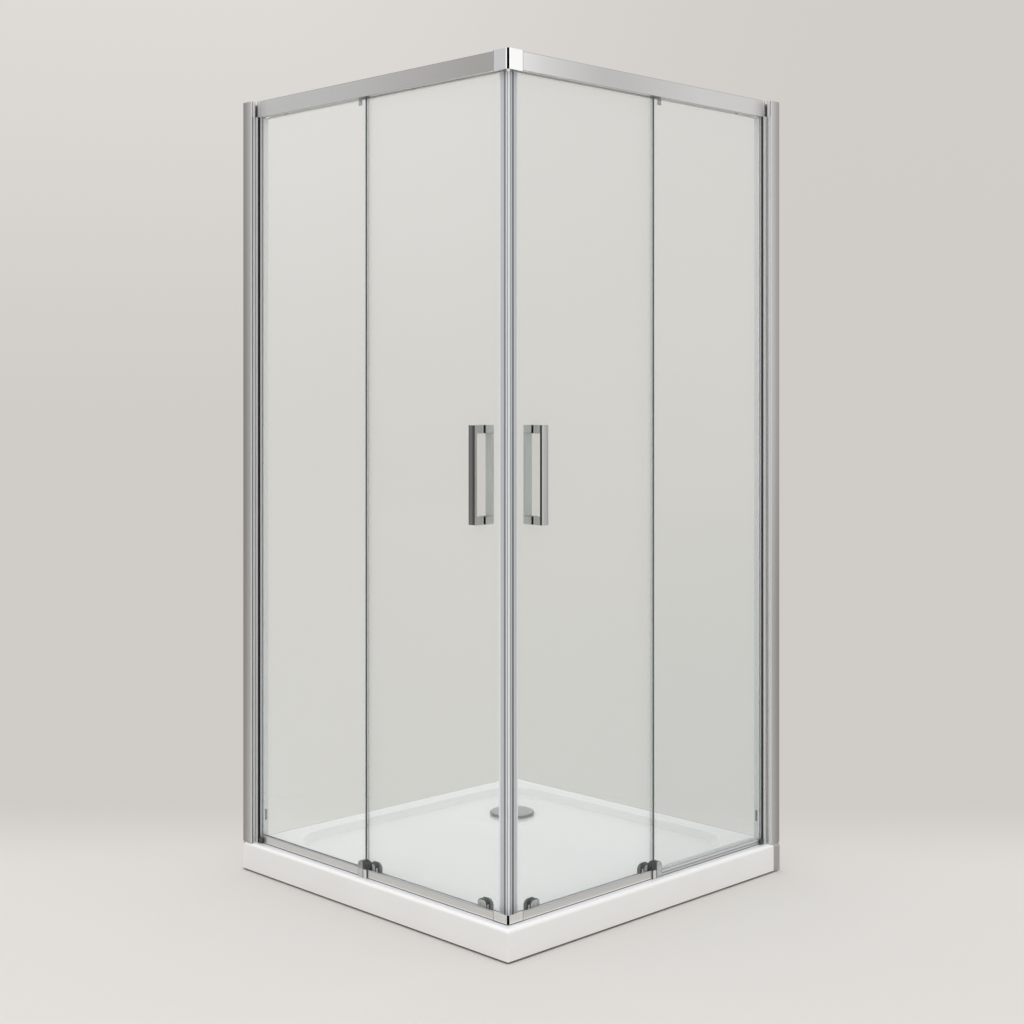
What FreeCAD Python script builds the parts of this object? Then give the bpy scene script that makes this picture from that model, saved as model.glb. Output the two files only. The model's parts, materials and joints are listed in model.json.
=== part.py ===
import FreeCAD, Part
import math
import os
import Sketcher

# Corner shower enclosure: a square tray, two fixed panes and two sliding doors that meet at the entry corner.
# Millimetres, +Z up. The origin is at floor level under the middle of the tray.
# The bathroom walls would stand at -X and +Y, and the entry corner is at +X and -Y.
# Each side is drawn once, as the right-hand one, in a frame of its own that starts at the entry corner:
# "along" runs from the entry corner to the wall, "inward" from the tray's outer face into the shower.
# The left-hand side is its mirror image across the vertical plane through the entry corner.

SIZES = {
    # Tray
    "tray_side": 1000.0,
    "tray_height": 75.0,
    "floor_gap": 3.0,
    "tray_wall": 5.0,
    "tray_edge_round": 10.0,
    "tray_corner_round": 3.5,
    "wall_rim": 60.0,
    "front_rim": 90.0,
    "basin_depth": 16.0,
    "basin_slope_run": 20.0,
    "basin_corner_round": 120.0,
    "basin_wall": 6.0,
    "dish_radius": 150.0,
    "dish_depth": 6.0,
    "dish_seat": 58.0,
    "floor_thickness": 5.0,
    "board_thickness": 12.0,
    "board_margin": 30.0,
    "board_waste_clearance": 8.0,
    "foot_inset": 150.0,
    "foot_radius": 24.0,
    "foot_pad_height": 8.0,
    "foot_stud_radius": 6.0,
    "foot_nut_radius": 11.0,
    "foot_nut_height": 8.0,
    "trim_width": 26.0,
    "trim_thickness": 2.0,
    # Waste
    "waste_setback": 245.0,
    "waste_cover_radius": 63.0,
    "waste_cover_thickness": 4.5,
    "waste_cover_bevel": 1.2,
    "waste_cover_rib_radius": 37.0,
    "waste_cover_rib_wall": 2.0,
    "waste_cover_rib_drop": 12.0,
    "waste_pad_height": 3.0,
    "waste_pad_radius": 3.5,
    "waste_pad_circle": 46.0,
    "waste_hole_radius": 45.0,
    "waste_flange_radius": 54.0,
    "waste_flange_thickness": 2.5,
    "waste_cup_radius": 43.0,
    "waste_cup_wall": 3.0,
    "waste_cup_floor": 3.0,
    "waste_cup_bottom": 18.0,
    "waste_tail_radius": 20.0,
    "waste_tail_bore": 17.0,
    "waste_tail_end": 4.0,
    "waste_gasket_thickness": 3.0,
    "waste_nut_thickness": 9.0,
    "waste_nut_radius": 55.0,
    "waste_nut_notch": 8.0,
    # Enclosure, measured from the tray's top
    "enclosure_height": 1950.0,
    "rail_setback": 23.0,
    "rail_wall": 1.8,
    "rail_edge_round": 0.8,
    "top_rail_height": 43.0,
    "top_rail_depth": 42.0,
    "pane_groove": 9.4,
    "track_ledge": 9.0,
    "track_thickness": 2.0,
    "track_bead_height": 2.0,
    "track_bead_width": 1.6,
    "rail_end_reach": 32.0,
    "bottom_rail_height": 21.0,
    "bottom_rail_depth": 40.0,
    "bottom_rail_floor": 2.0,
    "guide_rib_height": 7.0,
    "guide_rib_wall": 2.0,
    # Corner connectors
    "connector_reach": 48.0,
    "connector_wall": 3.0,
    "connector_proud": 1.0,
    "connector_rise": 1.5,
    "connector_drop": 2.5,
    "connector_round": 8.0,
    "tongue_length": 28.0,
    "tongue_clearance": 0.4,
    "bottom_tongue_width": 14.0,
    "bottom_tongue_height": 8.0,
    # Wall profile and side post
    "wall_profile_face": 37.0,
    "wall_profile_setback": 1.0,
    "wall_profile_beam": 14.0,
    "wall_profile_wall": 2.0,
    "wall_profile_lip": 30.0,
    "wall_profile_drop": 4.0,
    "wall_profile_round": 4.0,
    "post_show": 7.5,
    "post_width": 34.5,
    "post_depth": 35.5,
    "post_wall": 2.0,
    "post_clearance": 0.5,
    "post_groove_depth": 15.0,
    "post_slot_width": 8.0,
    "post_slot_length": 29.0,
    "post_slot_height": 55.0,
    "screw_radius": 2.0,
    "screw_head_radius": 4.0,
    "screw_head_height": 2.5,
    "screw_length": 8.0,
    "screw_end_distance": 150.0,
    "wall_hole_radius": 3.25,
    "wall_hole_end_distance": 150.0,
    # Fixed pane
    "glass": 6.0,
    "glass_chamfer": 0.7,
    "pane_setback": 26.0,
    "pane_edge_past_middle": 24.0,
    "pane_entry": 12.0,
    "pane_top_entry": 22.0,
    "gasket_thickness": 2.0,
    "gasket_lip": 3.5,
    "left_sill_height": 19.0,
    "right_sill_height": 11.0,
    "sill_wall": 1.5,
    "clip_width": 30.0,
    "clip_height": 40.0,
    "clip_inner_height": 33.0,
    "clip_plate": 6.0,
    "clip_inner_plate": 5.2,
    "clip_bridge": 8.5,
    "clip_lead": 3.0,
    "clip_round": 12.0,
    "clip_gap": 0.5,
    "edge_seal_wall": 1.0,
    "edge_seal_cover": 9.0,
    "edge_seal_nose": 1.5,
    "edge_seal_lip": 5.0,
    "edge_seal_lip_wall": 1.1,
    "top_clip_length": 30.0,
    "top_clip_bar": 5.0,
    "top_clip_drop": 20.0,
    "top_clip_leg": 12.0,
    "top_clip_plate": 2.2,
    "top_clip_lead": 6.0,
    "foot_block_height": 14.0,
    "foot_block_width": 12.0,
    "foot_block_depth": 6.0,
    # Door
    "door_setback": 45.0,
    "door_lead_edge": 62.0,
    "door_overlap": 16.0,
    "door_end_gap": 55.5,
    "door_floor_gap": 9.0,
    "door_top_gap": 13.5,
    "magnet_gap": 0.3,
    "magnet_seal_wall": 1.2,
    "magnet_seal_cover": 12.0,
    "magnet_seal_half_face": 6.2,
    "magnet_width": 9.0,
    "magnet_thickness": 2.5,
    "magnet_skin": 1.0,
    "magnet_seal_shoulder": 2.0,
    "seal_end_gap": 3.5,
    "rear_seal_cover": 10.0,
    # Handle
    "handle_centre_height": 996.0,
    "handle_place": 136.0,
    "handle_length": 227.0,
    "handle_width": 20.5,
    "handle_bar": 7.0,
    "handle_arm": 19.0,
    "handle_reach": 25.0,
    "handle_round": 1.5,
    "handle_gasket": 2.0,
    "handle_bolt_radius": 3.0,
    "handle_bolt_entry": 8.0,
    "bolt_clearance": 0.2,
    "glass_hole_radius": 5.0,
    # Rollers and lower guides
    "front_fitting_inset": 61.0,
    "rear_fitting_inset": 25.0,
    "wheel_radius": 11.0,
    "wheel_groove_radius": 9.0,
    "wheel_width": 7.5,
    "wheel_groove_width": 2.6,
    "wheel_running_gap": 0.3,
    "wheel_bore_clearance": 0.05,
    "axle_radius": 3.0,
    "axle_collar_radius": 6.0,
    "axle_collar": 2.5,
    "axle_clip": 1.0,
    "axle_side_gap": 0.3,
    "axle_sleeve_gap": 0.1,
    "axle_clip_radius": 5.0,
    "axle_stub": 3.0,
    "roller_cap_radius": 9.0,
    "roller_cap_thickness": 5.0,
    "roller_cap_bevel": 1.0,
    "guide_width": 30.0,
    "guide_height": 25.0,
    "guide_cap_thickness": 6.0,
    "guide_block_thickness": 10.0,
    "guide_block_lift": 2.0,
    "guide_round": 6.0,
    "guide_tongue": 2.8,
    "guide_tongue_gap": 0.6,
    "guide_tongue_entry": 4.0,
    "guide_tongue_inset": 2.0,
    "guide_stud_radius": 3.0,
    "guide_stud_height": 12.0,
    "guide_stud_entry": 4.0,
    "stop_length": 12.0,
    "stop_height": 12.0,
    "stop_depth": 4.0,
    "stop_gap": 2.0,
    "cut_overrun": 1.0,
}
SCREW_SHARES = (0.0, 0.5, 1.0)
INWARD = 1
OUTWARD = -1


class Size:
    """A length of the sheet, or one worked out from others, with the formula that binds it."""

    def __init__(self, value, formula):
        self.value = value
        self.formula = formula

    def __add__(self, other):
        other = as_size(other)
        return Size(self.value + other.value, f"({self.formula} + {other.formula})")

    def __sub__(self, other):
        other = as_size(other)
        return Size(self.value - other.value, f"({self.formula} - {other.formula})")

    def __mul__(self, factor):
        return Size(self.value * factor, f"({self.formula} * {factor!r})")

    def __truediv__(self, factor):
        return Size(self.value / factor, f"({self.formula} / {factor!r})")

    def __neg__(self):
        return self * -1


def as_size(number):
    return number if isinstance(number, Size) else Size(float(number), repr(float(number)))


class Sheet:
    """The document's spreadsheet, whose cells are read as sizes by their names."""

    def __init__(self, document, table):
        self.cells = document.addObject("Spreadsheet::Sheet", "Sizes")
        self.values = dict(table)
        for row, (name, value) in enumerate(table.items(), start=1):
            self.cells.set(f"A{row}", name)
            self.cells.set(f"B{row}", str(value))
            self.cells.setAlias(f"B{row}", name)

    def __getattr__(self, name):
        return Size(self.values[name], f"Sizes.{name}")


doc = FreeCAD.newDocument("corner_shower_enclosure")
d = Sheet(doc, SIZES)
doc.recompute()

nodes = []
ZERO = as_size(0)


def bind(item, prop, size):
    item.setExpression(prop, as_size(size).formula)


def origin_feature(body, role):
    return next(part for part in body.Origin.OriginFeatures if part.Role == role)


def new_body(name):
    body = doc.addObject("PartDesign::Body", name)
    body.AllowCompound = True
    return body


def vector(point):
    return FreeCAD.Vector(as_size(point[0]).value, as_size(point[1]).value, 0)


def new_sketch(body, name, plane, offset=(0, 0, 0)):
    """A sketch on one of the body's own origin planes, moved along its two axes and its normal."""
    sketch = body.newObject("Sketcher::SketchObject", name)
    sketch.AttachmentSupport = (origin_feature(body, plane), "")
    sketch.MapMode = "FlatFace"
    for axis, size in zip("xyz", offset):
        if as_size(size).formula != ZERO.formula:
            bind(sketch, f"AttachmentOffset.Base.{axis}", size)
    return sketch


def tie(sketch, constraints, bound):
    """Adds the constraints, then binds the driving ones among them to their sizes."""
    first = sketch.ConstraintCount
    sketch.addConstraint(constraints)
    for index, size in bound:
        bind(sketch, f"Constraints[{first + index}]", size)


def draw_loop(sketch, points):
    """A closed outline through (x, y) corners; a third value rounds that corner with an arc."""
    corners = [vector(point) for point in points]
    radii = [as_size(point[2]) if len(point) > 2 else ZERO for point in points]
    count = len(points)
    starts = []
    finishes = []
    for index, corner in enumerate(corners):
        back = (corners[index - 1] - corner).normalize()
        ahead = (corners[(index + 1) % count] - corner).normalize()
        trim = radii[index].value / math.tan(back.getAngle(ahead) / 2)
        finishes.append(corner + back * trim)
        starts.append(corner + ahead * trim)
    lines = []
    for index in range(count):
        line = Part.LineSegment(starts[index], finishes[(index + 1) % count])
        lines.append(sketch.addGeometry(line, False))
    constraints = []
    bound = []
    for index, corner in enumerate(corners):
        before = lines[index - 1]
        after = lines[index]
        if radii[index].value:
            back = finishes[index] - corner
            ahead = starts[index] - corner
            bisector = (back + ahead).normalize()
            centre = corner + bisector * (radii[index].value / math.sin(back.getAngle(ahead) / 2))
            middle = centre - bisector * radii[index].value
            arc = sketch.addGeometry(Part.Arc(finishes[index], middle, starts[index]), False)
            turn = (finishes[index] - centre).cross(starts[index] - centre).z
            entry, leave = (1, 2) if turn > 0 else (2, 1)
            held = sketch.addGeometry(Part.Point(corner), True)
            constraints.append(Sketcher.Constraint("PointOnObject", held, 1, before))
            constraints.append(Sketcher.Constraint("PointOnObject", held, 1, after))
            constraints.append(Sketcher.Constraint("Tangent", before, 2, arc, entry))
            constraints.append(Sketcher.Constraint("Tangent", arc, leave, after, 1))
            bound.append((len(constraints), radii[index]))
            constraints.append(Sketcher.Constraint("Radius", arc, radii[index].value))
        else:
            held = after
            constraints.append(Sketcher.Constraint("Coincident", before, 2, after, 1))
        bound.append((len(constraints), points[index][0]))
        constraints.append(Sketcher.Constraint("DistanceX", -1, 1, held, 1, corner.x))
        bound.append((len(constraints), points[index][1]))
        constraints.append(Sketcher.Constraint("DistanceY", -1, 1, held, 1, corner.y))
    tie(sketch, constraints, bound)


def draw_circle(sketch, centre, radius):
    middle = vector(centre)
    circle = sketch.addGeometry(Part.Circle(middle, FreeCAD.Vector(0, 0, 1), as_size(radius).value), False)
    constraints = [
        Sketcher.Constraint("DistanceX", -1, 1, circle, 3, middle.x),
        Sketcher.Constraint("DistanceY", -1, 1, circle, 3, middle.y),
        Sketcher.Constraint("Radius", circle, as_size(radius).value),
    ]
    tie(sketch, constraints, [(0, centre[0]), (1, centre[1]), (2, radius)])


def rectangle(low, high, radius=None):
    corners = [(low[0], low[1]), (high[0], low[1]), (high[0], high[1]), (low[0], high[1])]
    return corners if radius is None else [corner + (radius,) for corner in corners]


def feature(body, kind, name, sketch, **settings):
    item = body.newObject(f"PartDesign::{kind}", name)
    item.Profile = sketch
    for prop, value in settings.items():
        if isinstance(value, Size):
            bind(item, prop, value)
        else:
            setattr(item, prop, value)
    sketch.Visibility = False
    body.Tip = item
    return item


def pad(body, name, plane, loops, length, offset=(0, 0, 0), circles=(), **settings):
    sketch = new_sketch(body, f"{name}_outline", plane, offset)
    for loop in loops:
        draw_loop(sketch, loop)
    for centre, radius in circles:
        draw_circle(sketch, centre, radius)
    return feature(body, "Pad", name, sketch, Length=length, **settings)


def pocket(body, name, plane, loops, length, offset=(0, 0, 0), circles=(), **settings):
    sketch = new_sketch(body, f"{name}_outline", plane, offset)
    for loop in loops:
        draw_loop(sketch, loop)
    for centre, radius in circles:
        draw_circle(sketch, centre, radius)
    return feature(body, "Pocket", name, sketch, Length=length, **settings)


def turn(body, name, plane, loop, offset=(0, 0, 0), axis="V_Axis", kind="Revolution"):
    """A full turn of an outline about an axis of its own sketch."""
    sketch = new_sketch(body, f"{name}_outline", plane, offset)
    draw_loop(sketch, loop)
    return feature(body, kind, name, sketch, ReferenceAxis=(sketch, [axis]), Angle=360.0)


def repeat(body, item, role, distance, count=2):
    """Copies a feature along one of the body's axes."""
    pattern = body.newObject("PartDesign::LinearPattern", f"{item.Name}_row")
    pattern.Originals = [item]
    pattern.Direction = (origin_feature(body, role), [""])
    pattern.Occurrences = count
    bind(pattern, "Length", distance)
    body.Tip = pattern
    return pattern


def round_edges(body, name, radius, chosen, kind="Fillet"):
    """Rounds the edges of the body's last feature for which chosen(edge) holds."""
    doc.recompute()
    base = body.Tip
    names = [f"Edge{number}" for number, edge in enumerate(base.Shape.Edges, start=1) if chosen(edge)]
    item = body.newObject(f"PartDesign::{kind}", name)
    item.Base = (base, names)
    bind(item, "Radius" if kind == "Fillet" else "Size", radius)
    body.Tip = item
    return item


def keep(item, name):
    item.Label = name
    nodes.append(item)
    return item


def place_at_corner(item):
    """Stands a right-hand piece at the entry corner, its along axis on +Y and its inward axis on -X."""
    item.Placement = FreeCAD.Placement(FreeCAD.Vector(), FreeCAD.Rotation(FreeCAD.Vector(0, 0, 1), 90))
    bind(item, "Placement.Base.x", d.tray_side / 2)
    bind(item, "Placement.Base.y", -d.tray_side / 2)


def mirror(item, name):
    copy = doc.addObject("Part::Mirroring", name)
    copy.Source = item
    copy.Base = FreeCAD.Vector(0, 0, 0)
    copy.Normal = FreeCAD.Vector(1, 1, 0)
    return copy


def both_sides(item, name):
    """Keeps a right-hand piece and its left-hand mirror image as two nodes."""
    place_at_corner(item)
    keep(item, f"right_{name}")
    keep(mirror(item, f"left_{name}"), f"left_{name}")


def in_one(items, name):
    group = doc.addObject("Part::Compound", f"{name}_group")
    group.Links = items
    return keep(group, name)


def both_sides_in_one(item, name):
    """Keeps identical small pieces of the right-hand and left-hand sides as one node."""
    place_at_corner(item)
    return in_one([item, mirror(item, f"left_{name}")], name)


# Levels and places that several pieces share.

HALF_DIAGONAL = math.sqrt(0.5)

half_tray = d.tray_side / 2
tray_top = d.tray_height
basin_floor = tray_top - d.basin_depth
dish_floor = basin_floor - d.dish_depth
floor_underside = dish_floor - d.floor_thickness
board_underside = floor_underside - d.board_thickness
waste_x = -half_tray + d.waste_setback
waste_y = half_tray - d.waste_setback

panel_top = tray_top + d.enclosure_height
rail_top = panel_top - d.connector_rise
rail_bottom = rail_top - d.top_rail_height
rail_face = d.rail_setback
rail_back = rail_face + d.top_rail_depth
groove_front = rail_face + d.rail_wall
groove_back = groove_front + d.pane_groove
channel_front = groove_back + d.rail_wall
channel_back = rail_back - d.rail_wall
connector_face = rail_face - d.connector_proud
rail_start = connector_face + d.connector_reach
rail_end = d.tray_side - d.rail_end_reach
base_top = tray_top + d.bottom_rail_floor
bottom_rail_top = tray_top + d.bottom_rail_height

wall_mouth = d.tray_side - d.wall_profile_face
beam_back = d.wall_profile_setback + d.wall_profile_beam
post_face = beam_back + d.post_clearance
post_back = post_face + d.post_depth
post_mouth = wall_mouth - d.post_show
post_end = post_mouth + d.post_width

pane_face = d.pane_setback
pane_back = pane_face + d.glass
pane_edge = half_tray + d.pane_edge_past_middle
pane_floor = base_top + d.sill_wall
clip_start = pane_edge - d.clip_bridge
clip_end = clip_start + d.clip_width
clip_top = tray_top + d.clip_height

door_face = d.door_setback
door_back = door_face + d.glass
door_middle = door_face + d.glass / 2
door_lead = d.door_lead_edge
door_rear = pane_edge + d.door_overlap
door_bottom = tray_top + d.door_floor_gap
door_top = rail_top - d.door_top_gap

wheel_front = door_back + d.axle_collar + d.axle_side_gap
wheel_back = wheel_front + d.wheel_width
wheel_middle = wheel_front + d.wheel_width / 2
ledge_top = rail_bottom + d.track_thickness
wheel_height = ledge_top + d.track_bead_height + d.wheel_running_gap + d.wheel_groove_radius
front_fitting = door_lead + d.front_fitting_inset
rear_fitting = door_rear - d.rear_fitting_inset
fitting_places = (front_fitting, rear_fitting)
door_travel = post_mouth - door_rear - d.door_end_gap
guide_middle = door_back + d.guide_block_thickness / 2
guide_stud_level = door_bottom + d.guide_stud_height
rib_top = base_top + d.guide_rib_height

handle_low = tray_top + d.handle_centre_height - d.handle_length / 2
handle_high = handle_low + d.handle_length
handle_start = d.handle_place - d.handle_width / 2
handle_levels = (handle_low + d.handle_arm / 2, handle_high - d.handle_arm / 2)


# Tray: an acrylic shell with an apron on its two open sides, a shallow basin and a dish round the waste.

def basin_outline(grow, corner_round):
    low = (-half_tray + d.wall_rim - grow, -half_tray + d.front_rim - grow)
    high = (half_tray - d.front_rim + grow, half_tray - d.wall_rim + grow)
    return rectangle(low, high, corner_round)


def at_level(edge, level):
    box = edge.BoundBox
    return abs(box.ZMin - level.value) < box.DiagonalLength / 1e6 and box.ZLength < box.DiagonalLength / 1e6


def on_open_side(edge):
    middle = edge.CenterOfMass
    reach = (half_tray - d.tray_edge_round).value
    return at_level(edge, tray_top) and (middle.x > reach or middle.y < -reach)


def at_entry_corner(edge):
    middle = edge.CenterOfMass
    reach = (half_tray - d.tray_edge_round).value
    return edge.BoundBox.ZLength > d.tray_edge_round.value and middle.x > reach and middle.y < -reach


def build_tray():
    body = new_body("tray")
    outline = rectangle((-half_tray, -half_tray), (half_tray, half_tray))
    pad(body, "tray_block", "XY_Plane", [outline], tray_top - d.floor_gap, offset=(0, 0, d.floor_gap))
    round_edges(body, "tray_brim", d.tray_edge_round, on_open_side)
    round_edges(body, "tray_entry_corner", d.tray_corner_round, at_entry_corner)
    brim = new_sketch(body, "basin_brim", "XY_Plane", (0, 0, tray_top))
    draw_loop(brim, basin_outline(ZERO, d.basin_corner_round))
    foot = new_sketch(body, "basin_foot", "XY_Plane", (0, 0, basin_floor))
    draw_loop(foot, basin_outline(-d.basin_slope_run, d.basin_corner_round - d.basin_slope_run))
    feature(body, "SubtractiveLoft", "basin", brim, Sections=[foot], Ruled=True)
    below = floor_underside - d.cut_overrun
    above = basin_floor + d.cut_overrun
    dish = [
        (ZERO, above),
        (d.dish_radius, above),
        (d.dish_radius, basin_floor),
        (d.dish_seat, dish_floor),
        (d.waste_hole_radius, dish_floor),
        (d.waste_hole_radius, below),
        (ZERO, below),
    ]
    turn(body, "dish", "XZ_Plane", dish, offset=(waste_x, 0, -waste_y), kind="Groove")
    inner = half_tray - d.tray_wall
    shell = rectangle((-inner, -inner), (inner, inner))
    hollow = floor_underside - d.floor_gap
    pocket(body, "underside", "XY_Plane", [shell], hollow, offset=(0, 0, d.floor_gap), Reversed=True)
    around = basin_outline(d.basin_wall, d.basin_corner_round + d.basin_wall)
    rim_hollow = tray_top - d.tray_wall - d.floor_gap
    base = (0, 0, d.floor_gap)
    pocket(body, "rim_hollow", "XY_Plane", [shell, around], rim_hollow, base, Reversed=True)
    rebate = rectangle(
        (half_tray - d.trim_thickness, half_tray - d.trim_width),
        (half_tray + d.cut_overrun, half_tray + d.cut_overrun),
    )
    rebate_height = tray_top - d.tray_edge_round - d.floor_gap
    pocket(body, "trim_rebate", "XY_Plane", [rebate], rebate_height, base, Reversed=True)
    keep(body, "tray")


def build_trim():
    body = new_body("apron_end_trim")
    strip = rectangle((half_tray - d.trim_thickness, half_tray - d.trim_width), (half_tray, half_tray))
    height = tray_top - d.tray_edge_round - d.floor_gap
    pad(body, "trim", "XY_Plane", [strip], height, offset=(0, 0, d.floor_gap))
    keep(body, "apron_end_trim")


def build_board():
    body = new_body("tray_base_board")
    outline = basin_outline(-d.board_margin, d.basin_corner_round - d.board_margin)
    hole = ((waste_x, waste_y), d.waste_nut_radius + d.board_waste_clearance)
    offset = (0, 0, board_underside)
    pad(body, "board", "XY_Plane", [outline], d.board_thickness, offset=offset, circles=[hole])
    keep(body, "tray_base_board")


def build_feet():
    body = new_body("tray_feet")
    reach = half_tray - d.foot_inset
    places = [(-reach, -reach), (reach, -reach), (reach, reach), (-reach, reach), (ZERO, ZERO)]

    def discs(name, radius, low, height):
        circles = [(place, radius) for place in places]
        pad(body, name, "XY_Plane", [], height, offset=(0, 0, low), circles=circles)

    discs("pads", d.foot_radius, ZERO, d.foot_pad_height)
    discs("studs", d.foot_stud_radius, d.foot_pad_height, board_underside - d.foot_pad_height)
    discs("nuts", d.foot_nut_radius, board_underside - d.foot_nut_height, d.foot_nut_height)
    keep(body, "tray_feet")


# Waste: a flanged cup clamped through the tray's floor by a nut, under a lift-off cover.

flange_top = dish_floor + d.waste_flange_thickness
cover_bottom = flange_top + d.waste_pad_height
gasket_bottom = floor_underside - d.waste_gasket_thickness


def keep_at_waste(body, name):
    bind(body, "Placement.Base.x", waste_x)
    bind(body, "Placement.Base.y", waste_y)
    keep(body, name)


def build_waste_cover():
    body = new_body("waste_cover")
    rib = d.waste_cover_rib_radius
    rib_inside = rib - d.waste_cover_rib_wall
    rib_end = cover_bottom - d.waste_cover_rib_drop
    cover_top = cover_bottom + d.waste_cover_thickness
    plate = [
        (ZERO, cover_bottom),
        (rib_inside, cover_bottom),
        (rib_inside, rib_end),
        (rib, rib_end),
        (rib, cover_bottom),
        (d.waste_cover_radius, cover_bottom),
        (d.waste_cover_radius, cover_top - d.waste_cover_bevel),
        (d.waste_cover_radius - d.waste_cover_bevel, cover_top),
        (ZERO, cover_top),
    ]
    turn(body, "plate", "XZ_Plane", plate)
    out = d.waste_pad_circle
    spots = [(out, ZERO), (ZERO, out), (-out, ZERO), (ZERO, -out)]
    circles = [(spot, d.waste_pad_radius) for spot in spots]
    pad(body, "pads", "XY_Plane", [], d.waste_pad_height, offset=(0, 0, flange_top), circles=circles)
    keep_at_waste(body, "waste_cover")


def build_waste_body():
    body = new_body("waste_body")
    cup_inside = d.waste_cup_radius - d.waste_cup_wall
    cup_bottom = d.waste_cup_bottom
    cup_floor = cup_bottom + d.waste_cup_floor
    section = [
        (d.waste_tail_bore, d.waste_tail_end),
        (d.waste_tail_radius, d.waste_tail_end),
        (d.waste_tail_radius, cup_bottom),
        (d.waste_cup_radius, cup_bottom),
        (d.waste_cup_radius, dish_floor),
        (d.waste_flange_radius, dish_floor),
        (d.waste_flange_radius, flange_top),
        (cup_inside, flange_top),
        (cup_inside, cup_floor),
        (d.waste_tail_bore, cup_floor),
    ]
    turn(body, "cup", "XZ_Plane", section)
    keep_at_waste(body, "waste_body")


def build_waste_gasket():
    body = new_body("waste_gasket")
    section = rectangle((d.waste_cup_radius, gasket_bottom), (d.waste_flange_radius, floor_underside))
    turn(body, "washer", "XZ_Plane", section)
    keep_at_waste(body, "waste_gasket")


def build_waste_nut():
    body = new_body("waste_lock_nut")
    nut_bottom = gasket_bottom - d.waste_nut_thickness
    section = rectangle((d.waste_cup_radius, nut_bottom), (d.waste_nut_radius, gasket_bottom))
    turn(body, "collar", "XZ_Plane", section)
    half = d.waste_nut_notch / 2
    notch = rectangle((d.waste_nut_radius - half, -half), (d.waste_nut_radius + d.cut_overrun, half))
    cut = pocket(body, "notch", "XY_Plane", [notch], d.waste_nut_thickness, offset=(0, 0, gasket_bottom))
    ring = body.newObject("PartDesign::PolarPattern", "notches")
    ring.Originals = [cut]
    ring.Axis = (origin_feature(body, "Z_Axis"), [""])
    ring.Angle = 360.0
    ring.Occurrences = 8
    body.Tip = ring
    keep_at_waste(body, "waste_lock_nut")


# Aluminium rails. Each section is drawn across the rail, inward by up, and runs along the side.

def build_top_rail():
    body = new_body("top_rail")
    ledge_edge = channel_back - d.track_ledge
    bead_front = wheel_middle - d.track_bead_width / 2
    bead_back = bead_front + d.track_bead_width
    bead_top = ledge_top + d.track_bead_height
    roof = rail_top - d.rail_wall
    section = [
        (rail_face, rail_bottom, d.rail_edge_round),
        (rail_face, rail_top, d.rail_edge_round),
        (rail_back, rail_top),
        (rail_back, rail_bottom),
        (ledge_edge, rail_bottom),
        (ledge_edge, ledge_top),
        (bead_front, ledge_top),
        (bead_front, bead_top),
        (bead_back, bead_top),
        (bead_back, ledge_top),
        (channel_back, ledge_top),
        (channel_back, roof),
        (channel_front, roof),
        (channel_front, rail_bottom),
        (groove_back, rail_bottom),
        (groove_back, roof),
        (groove_front, roof),
        (groove_front, rail_bottom),
    ]
    pad(body, "extrusion", "YZ_Plane", [section], rail_end - rail_start, offset=(0, 0, rail_start))
    hole = ((tongue_screw_place, top_screw_level), d.screw_radius)
    depth = channel_front - groove_back
    pocket(body, "screw_hole", "XZ_Plane", [], depth, offset=(0, 0, -groove_back), circles=[hole])
    both_sides(body, "top_rail")


def build_bottom_rail():
    body = new_body("bottom_rail")
    rib_front = guide_middle - d.guide_tongue / 2 - d.guide_tongue_gap
    rib_back = guide_middle + d.guide_tongue / 2 + d.guide_tongue_gap
    base_back = rail_face + d.bottom_rail_depth
    section = [
        (rail_face, tray_top),
        (base_back, tray_top),
        (base_back, base_top),
        (rib_back + d.guide_rib_wall, base_top),
        (rib_back + d.guide_rib_wall, rib_top),
        (rib_back, rib_top),
        (rib_back, base_top),
        (rib_front, base_top),
        (rib_front, rib_top),
        (rib_front - d.guide_rib_wall, rib_top),
        (rib_front - d.guide_rib_wall, base_top),
        (groove_front, base_top),
        (groove_front, bottom_rail_top),
        (rail_face, bottom_rail_top, d.rail_edge_round),
    ]
    pad(body, "extrusion", "YZ_Plane", [section], post_mouth - rail_start, offset=(0, 0, rail_start))
    outside = rail_face - d.cut_overrun
    lip = rectangle((clip_start - d.clip_gap, outside), (post_mouth + d.cut_overrun, groove_front))
    pocket(body, "lip_cut", "XY_Plane", [lip], d.bottom_rail_height, offset=(0, 0, base_top), Reversed=True)
    notch = rectangle((clip_start - d.clip_gap, outside), (clip_end + d.clip_gap, pane_face + d.clip_gap))
    depth = d.bottom_rail_floor + d.cut_overrun
    pocket(body, "clip_notch", "XY_Plane", [notch], depth, offset=(0, 0, base_top))
    both_sides(body, "bottom_rail")


def build_sill(height, name):
    """The channel under a fixed pane, on the bottom rail's base between the pane clip and the post."""
    body = new_body(name)
    low = pane_face - d.sill_wall
    high = pane_back + d.sill_wall
    section = [
        (low, base_top),
        (high, base_top),
        (high, base_top + height),
        (pane_back, base_top + height),
        (pane_back, pane_floor),
        (pane_face, pane_floor),
        (pane_face, base_top + height),
        (low, base_top + height),
    ]
    start = clip_end + d.clip_gap
    pad(body, "channel", "YZ_Plane", [section], post_mouth - d.gasket_lip - start, offset=(0, 0, start))
    place_at_corner(body)
    return body


def build_sills():
    keep(build_sill(d.right_sill_height, "right_pane_sill"), "right_pane_sill")
    template = build_sill(d.left_sill_height, "left_pane_sill_source")
    keep(mirror(template, "left_pane_sill"), "left_pane_sill")


# Corner connectors: polished caps over the joint of the rails, with a tongue into each rail.

tongue_screw_place = rail_start + d.tongue_length / 2
top_screw_level = (rail_top + rail_bottom) / 2
square_low = connector_face
square_high = connector_face + d.connector_reach


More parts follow.
